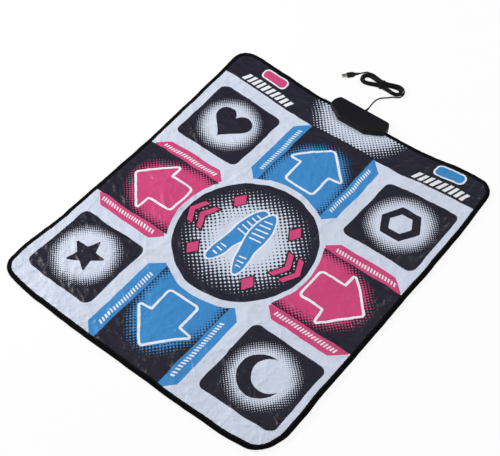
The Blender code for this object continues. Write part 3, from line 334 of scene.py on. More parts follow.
def tubeAlong(path, radii, sides):
    # a circle carried along a path: each ring stands square to it, turned so that its first side lies level
    tangent = units(np.gradient(path, axis=0))
    level = units(np.cross(tangent, (0, 0, 1)))
    upward = np.cross(level, tangent)
    angle = np.arange(sides) * 2 * math.pi / sides
    circle = np.cos(angle)[None, :, None] * level[:, None] + np.sin(angle)[None, :, None] * upward[:, None]
    points = path[:, None] + np.broadcast_to(radii, len(path))[:, None, None] * circle
    faces = gridFaces(len(path), sides, True)[:, ::-1].tolist()
    faces.append(list(range(sides)))
    faces.append(list(range(len(path) * sides - sides, len(path) * sides))[::-1])
    return points.reshape(-1, 3), faces


# the lead's jacket, extruded soft PVC: black, satin, faintly orange-peeled
cordVinyl = finish("extrudedBlackPvc", "#07070a", roughness=0.46, cloud=12, vary=0.15, grain=0.8, relief=0.25, ior=1.52,
                   specular=0.22)


def buildLead(look):
    cordExit, path = leadPath(look)
    reached = np.vstack([path[:1] * 2 - path[1:2], path, path[-1:] * 2 - path[-2:-1]])
    fine = smoothRoute(reached, look["ringSpacing"])[1:-1]
    points, faces = tubeAlong(fine, look["diameter"] / 2, look["sides"])
    lead = newPiece("usbLead", points, faces, [cordVinyl])
    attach(lead, "mat")
    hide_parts("cord", "cord_hank", "cord_lead")


buildLead(cordLook)


# outlines, in metres from the middle of the print

def cutCorners(corners, radii, steps=8):
    # a closed outline whose corners are arcs: each arc touches both sides at radius / tan(half the corner's angle)
    corners = np.array(corners, float)
    outline = []
    for corner, before, after, radius in zip(corners, np.roll(corners, 1, 0), np.roll(corners, -1, 0), radii):
        if radius <= 0:
            outline.append(corner[None])
            continue
        back, ahead = unit(before - corner), unit(after - corner)
        half = math.acos(np.clip(back @ ahead, -1, 1)) / 2
        centre = corner + unit(back + ahead) * radius / math.sin(half)
        start = corner + back * radius / math.tan(half) - centre
        turning = math.pi - 2 * half
        if back[0] * ahead[1] - back[1] * ahead[0] > 0:
            turning = -turning
        angle = np.linspace(0, turning, steps + 1)
        x = start[0] * np.cos(angle) - start[1] * np.sin(angle)
        y = start[0] * np.sin(angle) + start[1] * np.cos(angle)
        outline.append(centre + np.stack([x, y], axis=1))
    return np.vstack(outline)


def growOutline(outline, distance):
    # every side moved outwards by a distance, for an outline that runs counter-clockwise
    sides = units(np.roll(outline, -1, axis=0) - outline)
    outward = np.stack([sides[:, 1], -sides[:, 0]], axis=1)
    before = np.roll(outward, 1, axis=0)
    return outline + distance * (before + outward) / (1 + np.sum(before * outward, axis=1))[:, None]


def roundedBox(centre, width, depth, radius, steps=8):
    x, y = width / 2, depth / 2
    corners = np.array([(-x, -y), (x, -y), (x, y), (-x, y)]) + centre
    return cutCorners(corners, [radius] * 4, steps)


def ovalOutline(centre, halfWidth, halfDepth, steps=96):
    angle = np.arange(steps) * 2 * math.pi / steps
    return np.stack([centre[0] + halfWidth * np.cos(angle), centre[1] + halfDepth * np.sin(angle)], axis=1)


def turned(points, quarterTurns):
    for _ in range(quarterTurns % 4):
        points = np.stack([-points[:, 1], points[:, 0]], axis=1)
    return points


def onSide(outline, side):
    # the outline as it is for side 1, and mirrored for side -1
    return outline if side > 0 else (outline * (-1, 1))[::-1]


def onCircle(angle):
    return np.stack([np.cos(angle), np.sin(angle)], axis=1)


def leant(points, degrees, centre=(0, 0)):
    angle = math.radians(degrees)
    matrix = np.array([[math.cos(angle), math.sin(angle)], [-math.sin(angle), math.cos(angle)]])
    return (points - centre) @ matrix + centre


def isInside(points, outline):
    # a point is inside where a line from it to the right crosses the outline an odd number of times
    found = np.zeros(len(points), bool)
    near = np.nonzero(((points > outline.min(0)) & (points < outline.max(0))).all(1))[0]
    x, y = points[near, 0, None], points[near, 1, None]
    ax, ay = outline[:, 0], outline[:, 1]
    bx, by = np.roll(ax, -1), np.roll(ay, -1)
    crossed = (ay > y) != (by > y)
    at = ax + (y - ay) * (bx - ax) / np.where(by == ay, 1, by - ay)
    found[near] = (crossed & (x < at)).sum(axis=1) % 2 == 1
    return found


def fineOutline(outline, step):
    # the outline with points added, so that no side is longer than the step
    following = np.roll(outline, -1, axis=0)
    counts = np.maximum(1, np.ceil(np.linalg.norm(following - outline, axis=1) / step)).astype(int)
    starts = np.repeat(outline, counts, axis=0)
    runs = np.repeat(following - outline, counts, axis=0)
    share = np.arange(counts.sum()) - np.repeat(np.cumsum(counts) - counts, counts)
    return starts + runs * (share / np.repeat(counts, counts))[:, None]


# the print: shapes painted one over another

# in this section all lengths are in millimetres, from the middle of the print
inks = {"pale": "#d6deef", "white": "#f0f3fa", "charcoal": "#222130", "black": "#15141c", "blue": "#3e8dcf",
        "pink": "#d4497f"}
printing = []


def paint(outline, paper, ink=None, dot=5.0, tone=None):
    # paper shows where the tone is 1 and ink where it is 0, with round dots between
    printing.append({"outline": np.array(outline, float) * mm, "paper": srgb(inks[paper])[:3],
                     "ink": srgb(inks[ink or paper])[:3], "dot": dot * mm, "tone": tone})


def fade(distance, full, none):
    # tone of a dot screen: past 1 up to one distance, and under 0 from another
    return 1.18 - 1.36 * np.clip((distance - full) / (none - full), 0, 1)


def distanceFrom(points, centre):
    return np.hypot(points[:, 0] / mm - centre[0], points[:, 1] / mm - centre[1])


def barRow(middle, length, height, pitch, width, slant, turns=0):
    # a row of slanted bars about its middle, which runs along x before turning
    row = []
    for x in np.arange(-length / 2 + width / 2, length / 2, pitch):
        bar = np.array([(x - slant - width / 2, -height / 2), (x - slant + width / 2, -height / 2),
                        (x + slant + width / 2, height / 2), (x + slant - width / 2, height / 2)])
        row.append(turned(bar, turns) + middle)
    return row


# the moon's tone is given at distances from its middle; bars are height, pitch, width and slant, and their rows are the
# middle's x and the length; a button print is how much narrower and shallower it is than its zone, and its radius
bandLook = {"front": 407, "over": 5, "moonCentre": (-3, 524), "moonWide": (-150, 142), "dot": 7.8,
            "moonReach": (60, 95, 115, 148, 158), "moonTone": (0.90, 0.77, 0.59, 0.06, -0.2),
            "buttonWhite": (3, -4, 15), "buttonColour": (12, 5, 11), "barsY": 427, "bars": (26, 16.5, 10.5, 5),
            "barRows": ((-266, 160), (277, 142))}


def printBand(look):
    # the dark band along the back, the halftone moon in front of the control box, and the two button prints
    def across(left, right, front):
        return [(left, front), (right, front), (right, backEdge), (left, backEdge)]

    over, backEdge = look["over"], matHigh[1] / mm + look["over"]
    paint(across(matLow[0] / mm - over, matHigh[0] / mm + over, look["front"]), "charcoal")
    paint(across(*look["moonWide"], look["front"] + over), "pale", "charcoal", look["dot"],
          lambda points: np.interp(distanceFrom(points, look["moonCentre"]), look["moonReach"], look["moonTone"]))
    for pad, colour in zip(menuPads, ("pink", "blue")):
        low, high = printBoxOf(pad) / mm
        size, centre = high - low, (high + low) / 2
        for ink, (narrower, shallower, radius) in (("white", look["buttonWhite"]), (colour, look["buttonColour"])):
            paint(roundedBox(centre, size[0] - narrower, size[1] - shallower, radius), ink)
    for x, length in look["barRows"]:
        for bar in barRow((x, look["barsY"]), length, *look["bars"]):
            paint(bar, "white")


# the arrows that point to the back and front, and those that point sideways; then each arrow in turn: its kind, the
# panel's outer edge, and where its banners start and end
arrowLook = {"along": {"colour": "blue", "shift": 0, "headHalf": 81, "chamfer": 0, "panel": 95.5, "banner": 38},
             "sideways": {"colour": "pink", "shift": -19, "headHalf": 86, "chamfer": 10, "panel": 102, "banner": 33},
             "turns": [("along", 410, (165, 408)), ("sideways", 402, (160, 379)), ("along", 424, (165, 424)),
                       ("sideways", 393, (160, 379))],
             "dot": 7.2, "stroke": 6.4, "inner": 150, "fadeCentre": 233, "fadeSize": (70, 98), "fade": (0.97, 1.66),
             "bars": (172, 11, 8.2, 4.2, 1.7), "barsIn": 14, "barsUp": 2, "tail": 217, "base": 285, "apex": 371,
             "barb": 3, "shaft": 43, "radii": [10, 10, 1.5, 5, 9, 5, 1.5]}


def printArrow(look, turns):
    # a panel with a banner down each side and an outlined arrow, drawn for the back one and turned by quarter turns
    def put(outline, *rest):
        paint(turned(np.array(outline, float), turns), *rest)

    def tone(points):
        local, (wide, deep) = turned(points, -turns) / mm, look["fadeSize"]
        return fade(np.hypot(local[:, 0] / wide, (local[:, 1] - look["fadeCentre"] - shift) / deep), *look["fade"])

    kind, outer, (low, high) = look["turns"][turns]
    colour, shift, headHalf, chamfer, half, bannerWide = look[kind].values()
    panel = [(-half, look["inner"]), (half, look["inner"]), (half, outer - chamfer), (half - chamfer, outer),
             (chamfer - half, outer), (-half, outer - chamfer)]
    put(panel, colour, "charcoal", look["dot"], tone)
    outside = half + bannerWide
    banner = np.array([(half, low + 6), (half + 8, low), (outside, low + 28), (outside, high - 33), (half + 4, high),
                       (half, high)])
    for side in (-1, 1):
        put(onSide(banner, side), colour)
        middle = ((half + look["barsIn"]) * side, (low + high) / 2 + look["barsUp"])
        for bar in barRow((0, 0), *look["bars"], 1):
            put(bar * (1, side) + middle, "white")
    tail, base, apex, shaft = look["tail"] + shift, look["base"] + shift, look["apex"] + shift, look["shaft"]
    barbs = base + look["barb"]
    corners = [(-shaft, tail), (shaft, tail), (shaft, base), (headHalf, barbs), (0, apex), (-headHalf, barbs),
               (-shaft, base)]
    arrow = cutCorners(corners, look["radii"], 6)
    put(growOutline(arrow, look["stroke"] / 2), "white")
    put(growOutline(arrow, -look["stroke"] / 2), colour)


# ring and disc: a middle, half a width and half a depth; fade: where the pale middle ends and where the dots do
discLook = {"ring": ((1.5, 2), 187, 200), "disc": ((2.5, 3), 175, 181), "dot": 9.8, "fadeCentre": (2, 2),
            "fade": (48, 177), "soleHalf": 30, "soleLength": 196, "soleFrom": -98, "soleApart": 36, "soleBend": 5,
            "soleLean": 9, "leanCentre": (0, -60), "soleRim": 4.5, "treads": (-74, -60, -46, 14, 29, 44, 59, 74),
            "treadShort": 8, "tread": [(-1, -2), (1, -2), (1, 2), (-1, 2)], "chevronsX": (104, 134), "chevronRim": 3.5,
            "chevron": [(0, -38), (15, -38), (34, 0), (15, 38), (0, 38), (19, 0)],
            "gem": [(0, -24), (17, 0), (0, 24), (-17, 0)], "gemsX": 84, "gemsY": (-92, 92), "gemRim": 3}


def printDisc(look):
    # a pale ring and a dark disc whose dots grow towards a pale middle, with two shoe prints and chevrons on it
    paint(ovalOutline(*look["ring"], 160), "pale")
    paint(ovalOutline(*look["disc"], 160), "pale", "charcoal", look["dot"],
          lambda points: fade(distanceFrom(points, look["fadeCentre"]), *look["fade"]))
    # shoe print: half width along its length, broad at the ball and narrow at the arch, on a bent middle line
    share = np.linspace(0, 1, 30)
    shape = 0.72 + 0.22 * smoothstep(0.3, 0.75, share) - 0.13 * np.exp(-((share - 0.40) / 0.16) ** 2)
    half = look["soleHalf"] * np.sin(math.pi * np.clip(share, 0.004, 0.996)) ** 0.42 * shape
    y = look["soleFrom"] + look["soleLength"] * share
    for side in (-1, 1):
        middle = side * (look["soleApart"] - look["soleBend"] * np.sin(math.pi * share))
        lean = (side * look["soleLean"], look["leanCentre"])
        sole = leant(np.vstack([np.stack([middle + half, y], 1), np.stack([middle - half, y], 1)[::-1]]), *lean)
        paint(growOutline(sole, look["soleRim"]), "white")
        paint(sole, "blue")
        for place in look["treads"]:
            at = int(np.argmin(np.abs(y - place)))
            tread = np.array(look["tread"]) * (half[at] - look["treadShort"], 1) + (middle[at], place)
            paint(leant(tread, *lean), "white")
    for side in (-1, 1):
        chevrons = [onSide(np.array(look["chevron"], float) + (x, 0), side) for x in look["chevronsX"]]
        gems = [np.array(look["gem"], float) + (side * look["gemsX"], y) for y in look["gemsY"]]
        for outlines, rim in ((chevrons, look["chevronRim"]), (gems, look["gemRim"])):
            for outline in outlines:
                paint(growOutline(outline, rim), "black")
                paint(outline, "pink")


# moonOuter and moonInner: where the crescent's two arcs start and end, in degrees
cornerLook = {"size": 201, "radius": 18, "dot": 5.3, "fade": (49, 98), "heartScale": 3.4, "heartUp": 6, "hexagon": 54,
              "hexagonHole": 0.58, "starRadii": (52, 23), "moonScale": 1.2, "moonRadii": (46, 36), "moonShift": 18,
              "moonOuter": (46.3, 313.7), "moonInner": (-67.5, -292.5), "moonLean": 35, "moonBack": (4, 3)}


def printCorner(look, centre, symbol):
    # a dark pad with a pale disc that thins out in dots, and a plain charcoal symbol
    paint(roundedBox(centre, look["size"], look["size"], look["radius"]), "pale", "charcoal", look["dot"],
          lambda points: fade(distanceFrom(points, centre), *look["fade"]))
    for outline, colour in symbol:
        paint(outline + np.array(centre), colour)


def cornerSymbols(look):
    # a heart (x = 16 sin^3, y = 13 cos - 5 cos 2 - 2 cos 3 - cos 4), a hexagonal ring, a star and a crescent
    swing = np.linspace(0, 2 * math.pi, 48, endpoint=False)
    x = 16 * np.sin(swing) ** 3
    y = 13 * np.cos(swing) - 5 * np.cos(2 * swing) - 2 * np.cos(3 * swing) - np.cos(4 * swing)
    heart = look["heartScale"] * np.stack([x, y], axis=1) + (0, look["heartUp"])
    hexagon = ovalOutline((0, 0), look["hexagon"], look["hexagon"], 6)
    spokes = np.arange(10) * math.pi / 5 + math.pi / 2
    point, notch = look["starRadii"]
    star = onCircle(spokes) * np.where(np.arange(10) % 2, notch, point)[:, None]
    outer = onCircle(np.radians(np.linspace(*look["moonOuter"], 30)))
    inner = onCircle(np.radians(np.linspace(*look["moonInner"], 26)))
    wide, narrow = look["moonRadii"]
    crescent = look["moonScale"] * np.vstack([wide * outer, narrow * inner + (look["moonShift"], 0)])
    return {"corner_back_left_pad": [(heart, "charcoal")],
            "corner_back_right_pad": [(cutCorners(hexagon, [6] * 6, 3), "charcoal"),
                                      (cutCorners(hexagon * look["hexagonHole"], [3] * 6, 3), "pale")],
            "corner_front_left_pad": [(cutCorners(star, [3] * 10, 3), "charcoal")],
            "corner_front_right_pad": [(leant(crescent, look["moonLean"]) - look["moonBack"], "charcoal")]}


def printMat():
    far = 600
    paint([(-far, -far), (far, -far), (far, far), (-far, far)], "pale")
    printBand(bandLook)
    for turns in range(4):
        printArrow(arrowLook, turns)
    printDisc(discLook)
    for pad, symbol in cornerSymbols(cornerLook).items():
        printCorner(cornerLook, printMiddleOf(pad) / mm, symbol)


printMat()
print(f"print drawn, {len(printing)} shapes")


# how the soft mat lies: pulled out of square in plan, with puckers, creases and gently raised pads

# each edge's pull outwards in mm, as steps of an amount between two places along the edge; where each edge's pull has
# faded out, inwards, and where it is full; each corner's place and pull in mm; wavers of a size, an amount and a seed
driftLook = {"left": [(7.5, -0.33, -0.20), (-18, 0.04, 0.52)], "right": [(-6, 0.30, 0.47), (-12, -0.34, -0.42)],
             "rightSwell": (2, -0.30, 0.08), "backLeft": (-4, [(17, -0.12, -0.36)]),
             "backRight": (-2, [(20.5, 0.12, 0.34)]), "front": (-10, 0.36), "fadeSides": (0.335, 0.40),
             "fadeBack": (0.05, 0.45), "fadeFront": (-0.30, -0.43),
             "corners": [(-0.40, -0.465, 5), (0.40, -0.465, 8), (0.40, 0.465, 4), (-0.40, 0.465, -5)],
             "cornerReach": 0.060, "waver": [(0.052, 2.0 * mm, 8), (0.024, 0.9 * mm, 18)], "calmEdge": 0.05,
             "boxGap": (0.002, 0.05)}
# heights in mm, and all else in metres
lieLook = {"crown": 1.6, "swell": 0.5, "swellSize": 0.085, "boxGap": (0.002, 0.040),
           # puckers across the edge: width, how many times longer one is, how far in its middle lies, and its reach
           "pucker": 1.3, "puckerWidth": 11.0 * mm, "puckerStretch": 4.5, "puckerFrom": 0.014, "puckerReach": 0.024,
           # creases: how many, seed, and the ranges of the random draws
           "crease": 2.0, "creases": 240, "seed": 7, "creaseArea": ((-0.38, -0.44), (0.38, 0.47)),
           "creaseLength": (0.014, 0.055), "creaseWidth": (0.0035, 0.0080), "creaseShare": (0.25, 1.0),
           "creaseBend": 0.9,
           # soft ridges: size, height, seed, turn of their lattice (degrees); how far that is warped
           "ridges": [(0.066, 1.5, 21, 28), (0.030, 0.7, 22, 63)], "warp": 0.014,
           # folds: from, to, height and half width, all in mm
           "folds": [
               ((-364, 209), (-296, 176), 2.0, 4), ((-338, -236), (-282, -288), 1.7, 7),
               ((-308, -302), (-238, -366), 2.1, 8), ((-243, -332), (-208, -366), 1.4, 5),
               ((-386, -52), (-374, -98), 2.2, 9), ((-362, -66), (-336, -92), 1.3, 6),
               ((-172, 470), (-142, 432), 2.5, 11), ((-132, 452), (-108, 430), 1.5, 8),
               ((204, 490), (217, 444), 1.7, 7), ((-96, 388), (-62, 372), 1.5, 7), ((34, 394), (62, 372), 1.4, 7),
               ((-84, -404), (-34, -424), 2.2, 9), ((20, -398), (70, -412), 1.7, 8), ((-326, 372), (-300, 324), 1.3, 8),
               ((178, -203), (230, -184), 1.7, 8), ((256, -308), (270, -372), 1.5, 9),
               ((340, -296), (300, -350), 1.3, 7), ((122, 142), (130, 90), 1.4, 5),
               ((-270, -404), (-210, -398), 1.8, 7), ((-352, -392), (-322, -362), 1.5, 7),
               ((300, 230), (345, 190), 1.3, 8), ((210, 330), (180, 290), 1.3, 7)]}
# ramp and rampShare: how far in the crown rises, at most; bend: the heights over the cover's flat top between which a
# zone goes from riding the mat to riding its joint; foamFrom: how far in the foam under a zone starts and is full
zoneLook = {"innerRadius": 0.200, "arrowCorner": 8 * mm, "cornerRadius": 18 * mm, "menuRadius": 13 * mm,
            "spacing": 2.7 * mm, "ramp": 34 * mm, "rampShare": 0.9, "bend": (1.0 * mm, 3.6 * mm),
            "foamFrom": (3 * mm, 17 * mm),
            "slots": dict.fromkeys(cornerPads, "charcoal_vinyl") | {
                "menu_left_pad": "pink_vinyl", "menu_right_pad": "blue_vinyl", "arrow_up_pad": "blue_vinyl",
                "arrow_left_pad": "pink_vinyl", "arrow_down_pad": "blue_vinyl", "arrow_right_pad": "pink_vinyl"}}


def latticeNoise(x, y, size, seed):
    # random heights on a square lattice of a given size, blended between by the curve 6t^5 - 15t^4 + 10t^3
    def at(right, up):
        return table[(row + up) % 64, (column + right) % 64]

    table = np.random.default_rng(seed).uniform(-1, 1, (64, 64))
    x, y = x / size + 1000.5, y / size + 1000.5
    column, row = np.floor(x).astype(int), np.floor(y).astype(int)
    s, t = x - column, y - row
    s, t = s**3 * (s * (s * 6 - 15) + 10), t**3 * (t * (t * 6 - 15) + 10)
    near = at(0, 0) + (at(1, 0) - at(0, 0)) * s
    far = at(0, 1) + (at(1, 1) - at(0, 1)) * s
    return near + (far - near) * t


def sideDepth(u, v, low, high):
    # how far inside a box a point lies, negative outside: the least distance to a side
    return np.minimum(np.minimum(u - low[0], high[0] - u), np.minimum(v - low[1], high[1] - v))


def arrowSize(pad, turns):
    # half the width of an arrow zone, and how far out it reaches
    low, high = printBoxOf(pad)
    sideways, outward = (0, 1) if turns % 2 == 0 else (1, 0)
    return (high[sideways] - low[sideways]) / 2, max(abs(high[outward]), abs(low[outward]))


def padDepths(u, v):
    # how far inside each zone a point lies, to a side or to the round inner end, and the depth of the zone's middle;
    # the zones come in the order of the corners, the menu pads and the arrows
    depths = []
    for pad in cornerPads + menuPads:
        low, high = printBoxOf(pad)
        depths.append((sideDepth(u, v, low, high), min(*(high - low)) / 2))
    for turns, pad in enumerate(arrowPads):
        local = turned(np.stack([u, v], 1), -turns)
        half, reach = arrowSize(pad, turns)
        inner = np.hypot(local[:, 0], local[:, 1]) - zoneLook["innerRadius"]
        outer = np.minimum(half - np.abs(local[:, 0]), reach - local[:, 1])
        depths.append((np.minimum(outer, np.where(local[:, 1] > 0, inner, -1)), (reach - zoneLook["innerRadius"]) / 2))
    return depths


def creaseField(u, v):
    # straight creases: each a ridge exp(-(across / width)^2 - (along / length)^2), scattered and turned at random
    look = lieLook
    chance = np.random.default_rng(look["seed"])
    total = np.zeros(len(u))
    for _ in range(look["creases"]):
        centre = chance.uniform(*look["creaseArea"])
        ranges = ((0, math.pi), look["creaseLength"], look["creaseWidth"])
        angle, length, width = (chance.uniform(*ends) for ends in ranges)
        height = chance.uniform(*look["creaseShare"]) * look["crease"] * mm
        along = (u - centre[0]) * math.cos(angle) + (v - centre[1]) * math.sin(angle)
        across = (v - centre[1]) * math.cos(angle) - (u - centre[0]) * math.sin(angle) + look["creaseBend"] * along**2
        total += height * np.exp(-(across / width) ** 2 - (along / length) ** 2)
    for start, end, height, wide in look["folds"]:
        middle, run = (np.array(start) + end) / 2 * mm, (np.array(end) - start) * mm
        half = np.linalg.norm(run) / 2
        along = ((u - middle[0]) * run[0] + (v - middle[1]) * run[1]) / (2 * half)
        across = ((v - middle[1]) * run[0] - (u - middle[0]) * run[1]) / (2 * half)
        total += height * mm * np.exp(-(across / (wide * mm)) ** 2 - (along / half) ** 4)
    return total


def ridgeField(u, v):
    # soft ridges where a noise crosses zero: height * (1 - |noise|)^3, on a lattice turned and warped by another noise
    total = np.zeros(len(u))
    for size, height, seed, degrees in lieLook["ridges"]:
        spot = leant(np.stack([u, v], axis=1), degrees)
        x = spot[:, 0] + lieLook["warp"] * latticeNoise(u, v, size * 1.4, seed + 10)
        y = spot[:, 1] + lieLook["warp"] * latticeNoise(u, v, size * 1.4, seed + 20)
        total += height * mm * (1 - np.abs(latticeNoise(x, y, size, seed))) ** 3
    return total


def matRise(u, v):
    # height of the cover over its flat place; it lies flat beside the control box
    look = lieLook
    edge, box = sideDepth(u, v, matLow, matHigh), printBoxOf("box_lid")
    sideways = np.minimum(u - matLow[0], matHigh[0] - u) < np.minimum(v - matLow[1], matHigh[1] - v)
    stretch, size = look["puckerStretch"], look["puckerWidth"] * look["puckerStretch"]
    pucker = np.where(sideways, latticeNoise(u, v * stretch, size, 3), latticeNoise(u * stretch, v, size, 4))
    rise = look["pucker"] * mm * np.abs(pucker) * np.exp(-((edge - look["puckerFrom"]) / look["puckerReach"]) ** 2)
    rise += look["swell"] * mm * (0.5 + 0.5 * latticeNoise(u, v, look["swellSize"], 5))
    rise += creaseField(u, v) + ridgeField(u, v)
    for depth, half in padDepths(u, v):
        rise += look["crown"] * mm * smoothstep(0, min(zoneLook["ramp"], half * zoneLook["rampShare"]), depth)
    away = np.hypot(np.maximum(np.maximum(box[0, 0] - u, u - box[1, 0]), 0), np.maximum(box[0, 1] - v, 0))
    return rise * smoothstep(*look["boxGap"], away)


def stepped(start, steps, place):
    # a value with steps added to it, each an amount times the smoothstep from one place to another
    for amount, low, high in steps:
        start = start + amount * smoothstep(low, high, place)
    return start


def matDrift(u, v):
    # the pull out of square, in plan: how far each edge lies out of its straight place, fading inwards, then the pull
    # of each corner along its diagonal, exp(-(distance / reach)^2), and a slight waver everywhere
    look, box = driftLook, printBoxOf("box_lid")
    none, full = look["fadeSides"]
    left, right = smoothstep(-none, -full, u), smoothstep(none, full, u)
    back, front = smoothstep(*look["fadeBack"], v), smoothstep(*look["fadeFront"], v)
    swell, place, reach = look["rightSwell"]
    onLeft = stepped(0, look["left"], v)
    onRight = stepped(swell + swell * np.exp(-((v - place) / reach) ** 2), look["right"], v)
    onBack = np.where(u < 0, stepped(*look["backLeft"], u), stepped(*look["backRight"], u))
    pull, wide = look["front"]
    onFront = pull * (1 - np.minimum(np.abs(u) / wide, 1) ** 5)
    driftX, driftY = (left * onLeft + right * onRight) * mm, (back * onBack + front * onFront) * mm
    for x, y, pull in look["corners"]:
        share = pull * mm / math.sqrt(2) * np.exp(-((u - x) ** 2 + (v - y) ** 2) / look["cornerReach"] ** 2)
        driftX, driftY = driftX - math.copysign(1, x) * share, driftY - math.copysign(1, y) * share
    calm = 0.5 + 0.5 * smoothstep(0.0, look["calmEdge"], sideDepth(u, v, matLow, matHigh))
    for size, amount, seed in look["waver"]:
        driftX += amount * calm * latticeNoise(u, v, size, seed)
        driftY += amount * calm * latticeNoise(u, v, size, seed + 1)
    near = smoothstep(*look["boxGap"], np.maximum(np.maximum(box[0, 0] - u, u - box[1, 0]), box[0, 1] - v))
    return driftX * near, driftY * near


def laid(flat, z, riseShare=1.0):
    # points of the flat mat, and their heights in it, to their places on the floor
    u, v = flat[:, 0], flat[:, 1]
    driftX, driftY = matDrift(u, v)
    height = z + riseShare * matRise(u, v)
    return np.stack([u + driftX + printCentre[0], v + driftY + printCentre[1], height], axis=1)


def laidNormals(flat, z):
    # upward normals of the laid cover, from the slopes between points half a millimetre to each side
    step = 0.5 * mm
    alongU = laid(flat + (step, 0), z) - laid(flat - (step, 0), z)
    alongV = laid(flat + (0, step), z) - laid(flat - (0, step), z)
    return units(np.cross(alongU, alongV))


# triangulated skins

def triangulate(outline, holes, spacing, lines=()):
    # a square grid of points inside the outline, with the outline, the holes and the print's lines as fixed edges
    loops = [fineOutline(loop, spacing) for loop in (outline, *holes, *lines)]
    low, high = outline.min(0), outline.max(0)
    counts = np.round((high - low) / spacing).astype(int)
    column, row = np.meshgrid(np.arange(counts[0] + 1), np.arange(counts[1] + 1), indexing="ij")
    grid = low + np.stack([column.ravel(), row.ravel()], axis=1) * (high - low) / counts
    free = np.ones(len(grid), bool)
    for loop in loops:
        cell = np.round((loop - low) / (high - low) * counts).astype(int)
        cell = cell[((cell >= 0) & (cell <= counts)).all(1)]
        free[cell[:, 0] * (counts[1] + 1) + cell[:, 1]] = False
    free &= isInside(grid, outline)
    for hole in holes:
        free &= ~isInside(grid, hole)
    starts = np.cumsum([0] + [len(loop) for loop in loops])
    edges = [(start + i, start + (i + 1) % len(loop)) for start, loop in zip(starts, loops) for i in range(len(loop))]
    points = np.vstack(loops + [grid[free]])
    solved = delaunay_2d_cdt([Vector(point) for point in points], edges, [], 0, 1e-7)
    flat = np.array([tuple(point) for point in solved[0]])
    faces = np.array(solved[2])
    corners = flat[faces]
    area = np.cross(corners[:, 1] - corners[:, 0], corners[:, 2] - corners[:, 0])
    faces[area < 0] = faces[area < 0][:, ::-1]
    centres = corners.mean(axis=1)
    keep = isInside(centres, outline) & (np.abs(area) > 1e-12)
    for hole in holes:
        keep &= ~isInside(centres, hole)
    faces = faces[keep]
    used, renumbered = np.unique(faces, return_inverse=True)
    return flat[used], renumbered.reshape(-1, 3)


def linesOver(outline):
    # the print's lines that reach into an outline
    low, high = outline.min(0), outline.max(0)
    return [shape["outline"] for shape in printing[1:]
            if (shape["outline"].max(0) > low).all() and (shape["outline"].min(0) < high).all()]


def printValues(flat, faces):
    # for each corner of each triangle: the paper's and the ink's colour, the dot screen's two phases and its tone
    centres = flat[faces].mean(axis=1)
    owner = np.zeros(len(faces), int)
    for index, shape in enumerate(printing):
        owner[isInside(centres, shape["outline"])] = index
    owner = np.repeat(owner, 3)
    corners = flat[faces.ravel()]
    paper = np.array([shape["paper"] for shape in printing])[owner]
    ink = np.array([shape["ink"] for shape in printing])[owner]
    pitch = np.array([shape["dot"] for shape in printing])[owner]
    tone = np.full(len(corners), 1.3)
    for index in np.unique(owner):
        if printing[index]["tone"]:
            rows = owner == index
            tone[rows] = printing[index]["tone"](corners[rows])
    across, along = corners.sum(axis=1), corners[:, 0] - corners[:, 1]
    screen = np.stack([across / math.sqrt(2) / pitch, along / math.sqrt(2) / pitch, tone], axis=1)
    return paper, ink, screen


def closedSkin(faces, top, underside):
    # a closed skin: the top, an underside with the same triangles turned over, and a rim between them, along the sides
    # that no second triangle shares
    count = len(top)
    sides = np.vstack([faces[:, [0, 1]], faces[:, [1, 2]], faces[:, [2, 0]]])
    turnedOver = set(map(tuple, sides[:, ::-1].tolist()))
    rim = np.array([side for side in map(tuple, sides.tolist()) if side not in turnedOver])
    rimFaces = np.vstack([np.stack([rim[:, 1], rim[:, 0], rim[:, 0] + count], 1),
                          np.stack([rim[:, 1], rim[:, 0] + count, rim[:, 1] + count], 1)])
    return np.vstack([top, underside]), np.vstack([faces, faces[:, ::-1] + count, rimFaces])


def plainSkin(name, flat, faces, top, bottom, material):
    # a closed flat skin that follows the mat's pull out of square, and none of its creases
    points, allFaces = closedSkin(faces, laid(flat, top, 0.0), laid(flat, bottom, 0.0))
    return newPiece(name, points, allFaces, [material], False)


def printedSkin(name, flat, faces, underside):
    # a closed skin of the cover's vinyl, with the print on its top and the folds' own normals there
    points, allFaces = closedSkin(faces, laid(flat, coverTop), underside)
    piece = newPiece(name, points, allFaces, [printed, vinylBack])
    mesh = piece.data
    filler = np.zeros((3 * (len(allFaces) - len(faces)), 3))
    for label, values in zip(("paper", "ink", "screen"), printValues(flat, faces)):
        layer = mesh.attributes.new(label, "FLOAT_VECTOR", "CORNER")
        layer.data.foreach_set("vector", np.vstack([values, filler]).ravel())
    slots = np.zeros(len(allFaces), np.int32)
    slots[len(faces):2 * len(faces)] = 1
    mesh.polygons.foreach_set("material_index", slots)
    corner = points[allFaces]
    flatNormals = np.cross(corner[:, 1] - corner[:, 0], corner[:, 2] - corner[:, 0])
    flatNormals /= np.maximum(np.linalg.norm(flatNormals, axis=1), 1e-12)[:, None]
    normals = np.repeat(flatNormals, 3, axis=0)
    normals[:3 * len(faces)] = laidNormals(flat, coverTop)[faces.ravel()]
    mesh.normals_split_custom_set(normals)
    mesh.update()
    return piece


# the laid sheets and pads: what each is made of

# each bump is a strength and a distance
vinylLook = {"ior": 1.52, "specular": 0.21, "cloud": 1 / 9, "tint": (0.95, 1.04), "wear": 55 * mm,
             "roughness": (0.25, 0.42), "ridge": 36 * mm, "ridgeBump": (0.9, 1.6 * mm), "crinkle": 21 * mm,
             "crinkleBump": (0.9, 2.6 * mm), "grain": 0.9 * mm, "grainBump": (0.05, 0.3 * mm), "edgeSharp": 0.045}


